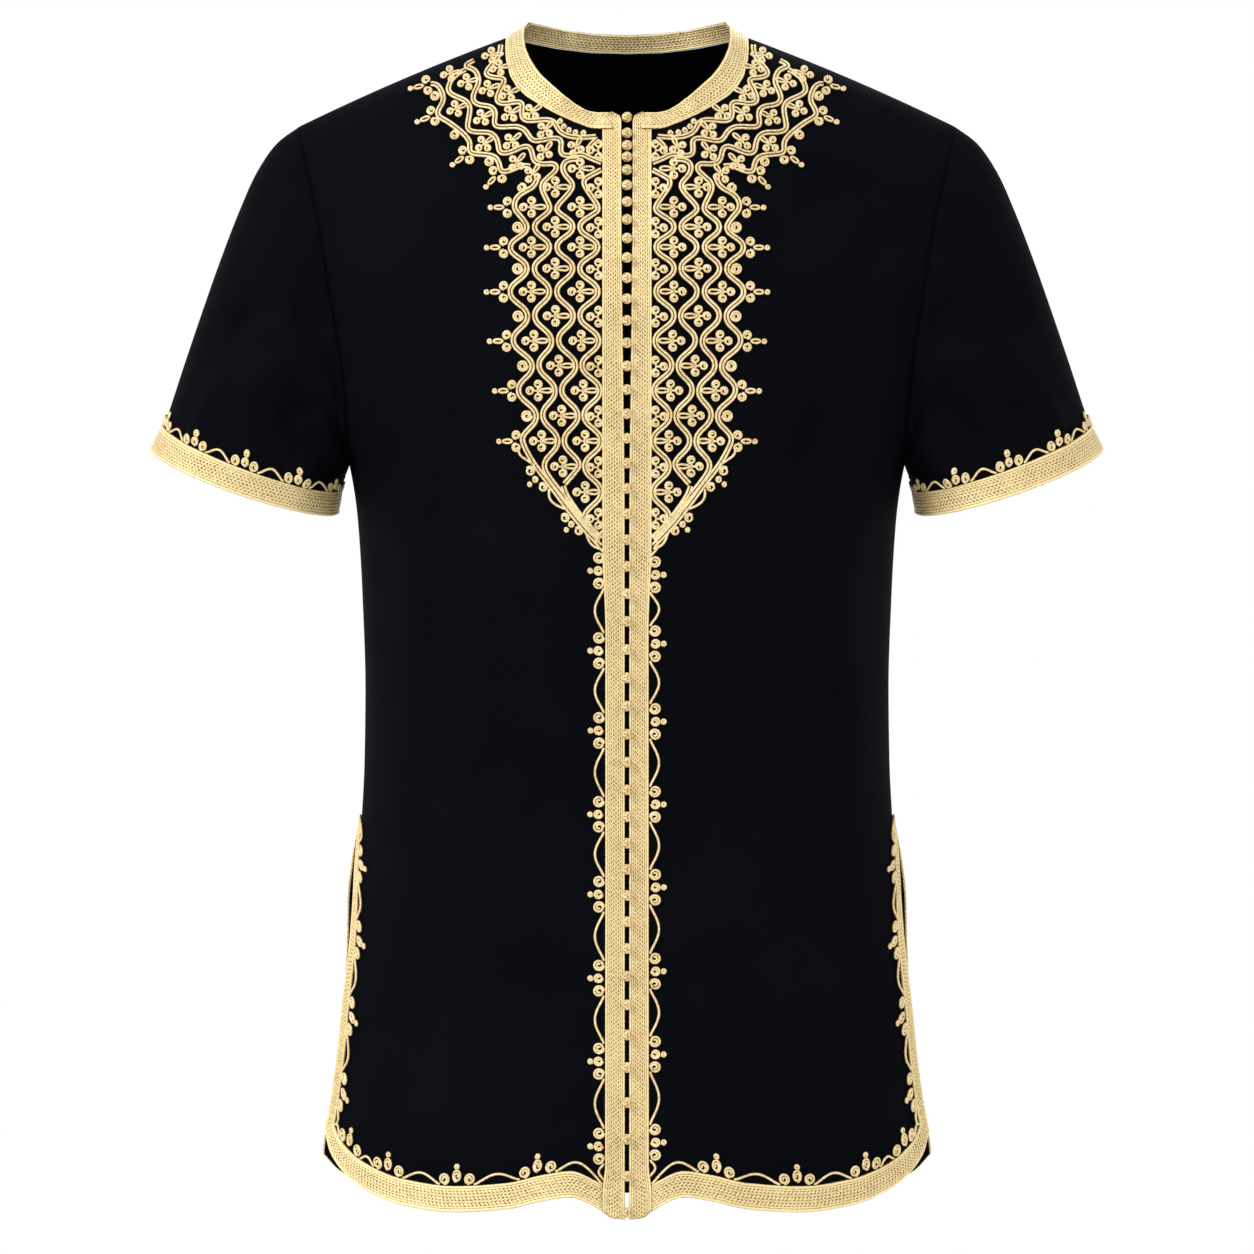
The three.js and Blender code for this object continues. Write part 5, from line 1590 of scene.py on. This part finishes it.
class TunicDresser:
    """Builds every piece of the tunic and gives it its finish."""

    def __init__(self) -> None:
        """Make the surfaces and the finishes."""
        self.tunic = Tunic()
        self.cloth = BlackCloth().material()
        self.braid = GoldThread("gold_braid", 0.0030, True, 0.8, mottle=0.42, shade=(0.15, 0.07, 0.015),
                                body=(0.45, 0.30, 0.11), shine=(0.86, 0.70, 0.36)).material()
        self.cord = GoldThread("gold_cord", 0.0013, False, 0.22).material()
        self.on_cloth = {name: [] for name in CUTS}

    def dress(self) -> None:
        """Build the trims, then the cloth that carries them."""
        self.hem_braids()
        self.cuffs()
        self.front_edges()
        self.neck_band()
        self.ornaments()
        self.buttons()
        self.cloth_pieces()

    def cloth_pieces(self) -> None:
        """Build the cloth panels."""
        for name, (points, normals) in self.tunic.cloth_grids().items():
            parts = Parts()
            closed = name.startswith("sleeve")
            flip = name in ("front_right", "sleeve_right")
            add_shell(parts, points, normals, CLOTH_WALL, closed, not flip)
            piece = finish(parts.piece("cloth_" + name), self.cloth, [name])

    def hem_braids(self) -> None:
        """Braid round the hem and up both slits of each front and of the back, with its edging."""
        for front, name in zip(self.tunic.fronts, ("left", "right")):
            side = front.side_column
            outer = [[2, 0], [side, 0], [side, SLIT_ROW]]
            inner = [[2, 1], [side - 1, 1], [side - 1, SLIT_ROW]]
            self.hem_braid("hem_braid_front_" + name, front, outer, inner, "front_" + name, front.hand > 0)
        side = self.tunic.back.side_column
        outer = [[-side, SLIT_ROW], [-side, 0], [side, 0], [side, SLIT_ROW]]
        inner = [[1 - side, SLIT_ROW], [1 - side, 1], [side - 1, 1], [side - 1, SLIT_ROW]]
        self.hem_braid("hem_braid_back", self.tunic.back, outer, inner, "back", False)

    def hem_braid(self, name: str, patch: BodyCloth, outer: list, inner: list, cloth: str,
                  flip: bool) -> None:
        """Make one hem braid along its two edges.

        Args:
            name: the node that it stands for.
            patch: the cloth.
            outer: corners of its outer edge, in the patch's numbers.
            inner: corners of its inner edge.
            cloth: the cloth's name.
            flip: whether the faces look the other way.
        """
        outer, inner = np.array(outer, float), np.array(inner, float)
        parts = Parts()
        legs, inner_legs = [], []
        for a, b, c, d in zip(outer, outer[1:], inner, inner[1:]):
            leg, _ = evenly(patch, np.array([a, b]), BRAID_STEP)
            share = (leg - a) @ (b - a) / ((b - a) @ (b - a))
            legs.append(leg if not legs else leg[1:])
            inner_leg = c + (d - c) * share[:, None]
            inner_legs.append(inner_leg if len(legs) == 1 else inner_leg[1:])
        add_braid(parts, patch, np.concatenate(legs), np.concatenate(inner_legs), EDGE_RIDGES, TRIM_LIFT,
                  BRAID_WALL, flip=flip)
        piece = finish(parts.piece(name + "_plait"), self.braid, [name])
        self.on_cloth[cloth].append(piece)
        edging = Parts()
        motif = Edging(coil_gap=9.9, coil_off=4.6, top_off=7.0, top_tall=1.45, ball_off=13.8)
        for a, b in zip(inner, inner[1:]):
            inwards = (0.0, 1.0) if a[1] == b[1] else (-float(np.sign(a[0])), 0.0)
            route = np.array([a, b])
            line, length = evenly(patch, route, ROUTE_STEP)
            count = max(2, round(length[-1] / MOTIF_SPACING))
            starts = [length[-1] * (n + 0.5) / count for n in range(count)]
            if cloth != "back" and a[1] == b[1]:
                out = np.abs(patch.place(line[:, 0], line[:, 1])[:, 0])
                starts = list(np.interp(HEM_MOTIFS, out, length))
            motif.along(edging, patch, route, inwards, starts)
        piece = finish(edging.piece(name.replace("braid", "edging")), self.cord, [])
        self.on_cloth[cloth].append(piece)

    def cuffs(self) -> None:
        """Braid and edging round each sleeve end."""
        for sleeve, name in zip(self.tunic.sleeves, ("left", "right")):
            around = np.linspace(0, WAY_ROUND, 170, endpoint=False)
            edge = np.stack([around, np.full(len(around), float(CUFF_RING))], axis=-1)
            inside = np.stack([around, np.full(len(around), CUFF_RING - 1.0)], axis=-1)
            parts = Parts()
            add_braid(parts, sleeve, edge, inside, EDGE_RIDGES, TRIM_LIFT, BRAID_WALL, closed=True,
                      flip=sleeve.hand < 0)
            node = "cuff_braid_" + name
            piece = finish(parts.piece(node + "_plait"), self.braid, [node])
            self.on_cloth["sleeve_" + name].append(piece)
            edging = Parts()
            underarm, ring = float(ARMHOLE_STEPS), CUFF_RING - 1.0
            route = np.array([[underarm, ring], [underarm + WAY_ROUND, ring]])
            _, length = evenly(sleeve, route, ROUTE_STEP)
            starts = [length[-1] * (n + 0.5) / CUFF_MOTIFS for n in range(CUFF_MOTIFS)]
            motif = Edging(coil_gap=7.2, coil_size=2.7, coil_off=3.4, top_off=4.4, ball_off=8.8, arc_out=5.0)
            motif.along(edging, sleeve, route, (0.0, -1.0), starts)
            piece = finish(edging.piece("cuff_edging_" + name), self.cord, [])
            self.on_cloth["sleeve_" + name].append(piece)

    def front_edges(self) -> None:
        """Braid down each front edge, rising to a rounded end at the neck, with its edging."""
        for front, name in zip(self.tunic.fronts, ("left", "right")):
            patch = FrontEdge(front)
            rows, _ = evenly(patch, np.array([[0.0, 0.0], [0.0, TOP_ROW + 1.0]]), BRAID_STEP)
            rows = rows[:, 1]
            close = np.clip((rows - TOP_ROW - 0.55) / 0.45, 0, 1)
            narrow = 1 - np.sqrt(np.maximum(0, 1 - close ** 2))
            heights = patch.place(np.zeros(len(rows)), rows)[:, 2]
            slot = SLOT_HALF(heights)
            wide = EDGE_OUTER(heights)
            middle = (slot + wide) / 2
            outer = np.stack([lerp(wide, middle, narrow), rows], axis=-1)
            inner = np.stack([lerp(slot, middle, narrow), rows], axis=-1)
            parts = Parts()
            add_braid(parts, patch, inner, outer, EDGE_RIDGES, TRIM_LIFT, BRAID_WALL, flip=front.hand < 0)
            node = "edge_braid_" + name
            piece = finish(parts.piece(node + "_plait"), self.braid, [node])
            self.on_cloth["front_" + name].append(piece)
            edging = Parts()
            view = FrontView(front)
            heights = [height_of_row(row) for row in EDGING_ROWS[name]]
            top = heights[0] + FIRST_ARC
            beside_braid = float(EDGE_OUTER(np.array(-600.0))) + TRIM_LIFT
            route = np.array([[beside_braid, top], [beside_braid, heights[-1] - LAST_ARC]])
            Edging().along(edging, view, route, (1.0, 0.0), [top - height for height in heights])
            piece = finish(edging.piece("edge_edging_" + name), self.cord, [])
            self.on_cloth["front_" + name].append(piece)

    def neck_band(self) -> None:
        """The standing band of braid round the neck, braid on both faces."""
        parts = Parts()
        way, _ = evenly(self.tunic.neck, np.array([[-13.9, 0.5], [13.9, 0.5]]), 2.4)
        foot = np.stack([way[:, 0], np.full(len(way), 0.02)], axis=-1)
        top = np.stack([way[:, 0], np.full(len(way), 0.99)], axis=-1)
        share, height, mark = ridge_section(BAND_RIDGES, BAND_WALL / 2)
        line = foot[:, None] + (top - foot)[:, None] * share[None, :, None]
        normal = self.tunic.neck.normal(line[..., 0], np.clip(line[..., 1], 0.03, 0.97))
        middle = self.tunic.neck.place(line[..., 0], line[..., 1])
        over = np.clip(np.abs(way[:, 0]) - 11.6, 0, 0.5)[:, None, None] * 5.0
        outer = middle + normal * (height[None, :, None] + over)
        inner = middle - normal * (height[None, :, None] - over)
        sections = np.concatenate([outer, inner[:, ::-1]], axis=1)
        centre = middle[:, len(share) // 2]
        length = np.concatenate([[0], np.cumsum(np.linalg.norm(np.diff(centre, axis=0), axis=-1))]) * MM
        marks = np.concatenate([mark, mark[::-1], mark[:1]])
        places = np.stack(np.broadcast_arrays(length[:, None], marks[None]), axis=-1)
        add_sweep(parts, sections, places, False, flip=False)
        piece = finish(parts.piece("neck_band_plait"), self.braid, ["neck_band"])
        self.on_cloth["back"].append(piece)

    def ornaments(self) -> None:
        """The cord ornament of each side of the chest."""
        for front, name in zip(self.tunic.fronts, ("left", "right")):
            piece = ChestOrnament(name, FrontView(front)).build()
            finish(piece, self.cord, ["ornament_" + name])
            self.on_cloth["front_" + name].append(piece)

    def buttons(self) -> None:
        """The row of knotted ball buttons, each with a ring of cord at its foot."""
        parts = Parts()
        names = [f"button_{n:02d}" for n in range(1, 46)]
        for name in names:
            low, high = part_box(name)
            middle = np.array([(low[n] + high[n]) / 2 for n in range(3)]) / MM
            KnottedButton().add(parts, middle)
        finish(parts.piece("knotted_buttons"), self.cord, names)


@dataclass
class FrontEdge(Patch):
    """The strip of the front beside the opening, in millimetres from the middle, and its rise to the neck."""

    front: BodyCloth

    def __post_init__(self) -> None:
        """Take the cloth's own way of facing."""
        self.outwards = self.front.outwards

    def place(self, a: np.ndarray, b: np.ndarray) -> np.ndarray:
        """A point of the strip, or of its rise past the last row."""
        a, b = np.broadcast_arrays(np.asarray(a, float), np.asarray(b, float))
        columns = np.interp(a, self.front.straight, [0.0, 1.0, 2.0])
        points = self.front.place(columns, np.clip(b, 0, TOP_ROW))
        rise = np.maximum(0, b - TOP_ROW) * PLACKET_RISE
        lean = math.sqrt(NECK_BAND ** 2 - PLACKET_RISE ** 2) / PLACKET_RISE
        points[..., 2] += rise
        points[..., 1] += rise * lean
        return points


@dataclass(frozen=True)
class KnottedButton:
    """A ball knotted of cord, with a ring of cord at its foot."""

    radius: float = 3.9
    forward: float = 0.7  # how far it stands before its solid, on the braids' edges
    round_steps: int = 20
    up_steps: int = 12
    strand: float = 0.7
    ring: tuple = (2.6, 2.9)  # half-width and half-height of the ring of cord
    ring_back: float = 2.9  # behind the ball's middle
    ring_cord: Cord = Cord(radius=0.75, sides=5)

    def add(self, parts: Parts, middle: np.ndarray) -> None:
        """Add one button.

        Args:
            parts: what it is added to.
            middle: the middle of the ball.
        """
        turn = np.arange(self.round_steps) * 2 * math.pi / self.round_steps
        tilt = np.linspace(0.12, math.pi - 0.12, self.up_steps)
        t, p = np.meshgrid(turn, tilt)
        middle = middle - np.array([0.0, self.forward, 0.0])
        weave = np.maximum(np.sin(4 * p + 3 * t), np.sin(4 * p - 3 * t))
        radius = self.radius - self.strand + self.strand * weave
        x = radius * np.sin(p) * np.cos(t)
        y = -radius * np.cos(p)
        z = radius * np.sin(p) * np.sin(t)
        sections = np.stack([x, y, z], axis=-1) + middle
        # painted light: texture places that put each strand's crown on the cord material's lit side and paint
        # shade in the grooves between strands
        lit = 0.27 - 0.2 * (1 - weave)  # a cord's lit side is at 0.27, and its dark side half a turn on
        lit = np.concatenate([lit, lit[:, :1]], axis=1)
        places = np.stack(np.broadcast_arrays(tilt[:, None] * self.radius * MM, lit), axis=-1)
        add_sweep(parts, sections, places, False, flip=True)
        wide, high = self.ring
        back = np.full(len(turn), self.ring_back)
        ring = np.stack([wide * np.cos(turn), back, high * np.sin(turn)], axis=-1) + middle
        self.ring_cord.sweep(parts, ring, np.tile([0.0, -1.0, 0.0], (len(turn), 1)), closed=True)


@dataclass(frozen=True)
class Studio:
    """A plain pale floor, soft light and a camera at the photograph's angle."""

    distance: float = 6.0
    eye_height: float = -0.425
    view_width: float = 0.9154  # what the frame takes in at the tunic, in metres
    floor_height: float = -1.02
    floor_radius: float = 1.4
    chest: tuple = (0.0, 0.0, -0.35)  # where the lights look

    def build(self) -> None:
        """Build the floor, lights, world and camera."""
        mesh = bpy.data.meshes.new("floor")
        turn = np.arange(96) * 2 * math.pi / 96
        rim = [(self.floor_radius * math.cos(t), self.floor_radius * math.sin(t), self.floor_height)
               for t in turn]
        mesh.from_pydata(rim, [], [list(range(len(rim)))])
        floor = bpy.data.objects.new("floor", mesh)
        bpy.context.scene.collection.objects.link(floor)
        nodes = NodeTree("pale_floor")
        shader = nodes.add("ShaderNodeBsdfPrincipled",
                           sockets={"Base Color": (0.9, 0.9, 0.9, 1), "Roughness": 0.9})
        nodes.add("ShaderNodeOutputMaterial", sockets={"Surface": shader.outputs[0]})
        mesh.materials.append(nodes.material)
        self.world()
        self.light("key_light", (-3.0, -2.6, 2.6), 1.1, 120)
        self.light("fill_light", (3.2, -2.4, 0.8), 1.8, 8)
        self.light("rim_light", (0.6, 3.2, 2.4), 1.6, 30)
        self.camera()

    def world(self) -> None:
        """Set a white surrounding light."""
        world = bpy.data.worlds.new("studio")
        world.use_nodes = True
        world.node_tree.nodes["Background"].inputs[0].default_value = (1, 1, 1, 1)
        world.node_tree.nodes["Background"].inputs[1].default_value = 1.0
        bpy.context.scene.world = world

    def light(self, name: str, place: tuple, size: float, power: float) -> None:
        """Add a soft area light that looks at the chest."""
        lamp = bpy.data.lights.new(name, "AREA")
        lamp.shape = "DISK"
        lamp.size = size
        lamp.energy = power
        holder = bpy.data.objects.new(name, lamp)
        holder.location = place
        aim = Vector(self.chest) - Vector(place)
        holder.rotation_euler = aim.to_track_quat("-Z", "Y").to_euler()
        bpy.context.scene.collection.objects.link(holder)

    def camera(self) -> None:
        """Place the camera level, in front."""
        data = bpy.data.cameras.new("camera")
        data.sensor_width = 36
        data.lens = 36 * self.distance / self.view_width
        eye = bpy.data.objects.new("camera", data)
        eye.location = (0, -self.distance, self.eye_height)
        eye.rotation_euler = (math.pi / 2, 0, 0)
        data.clip_end = 100
        bpy.context.scene.collection.objects.link(eye)
        bpy.context.scene.camera = eye


def main() -> None:
    """Build the studio and the tunic."""
    logging.basicConfig(level=logging.INFO, format="%(name)s: %(message)s")
    bpy.context.scene.view_settings.view_transform = "Standard"
    Studio().build()
    TunicDresser().dress()


if __name__ == "__main__":
    main()
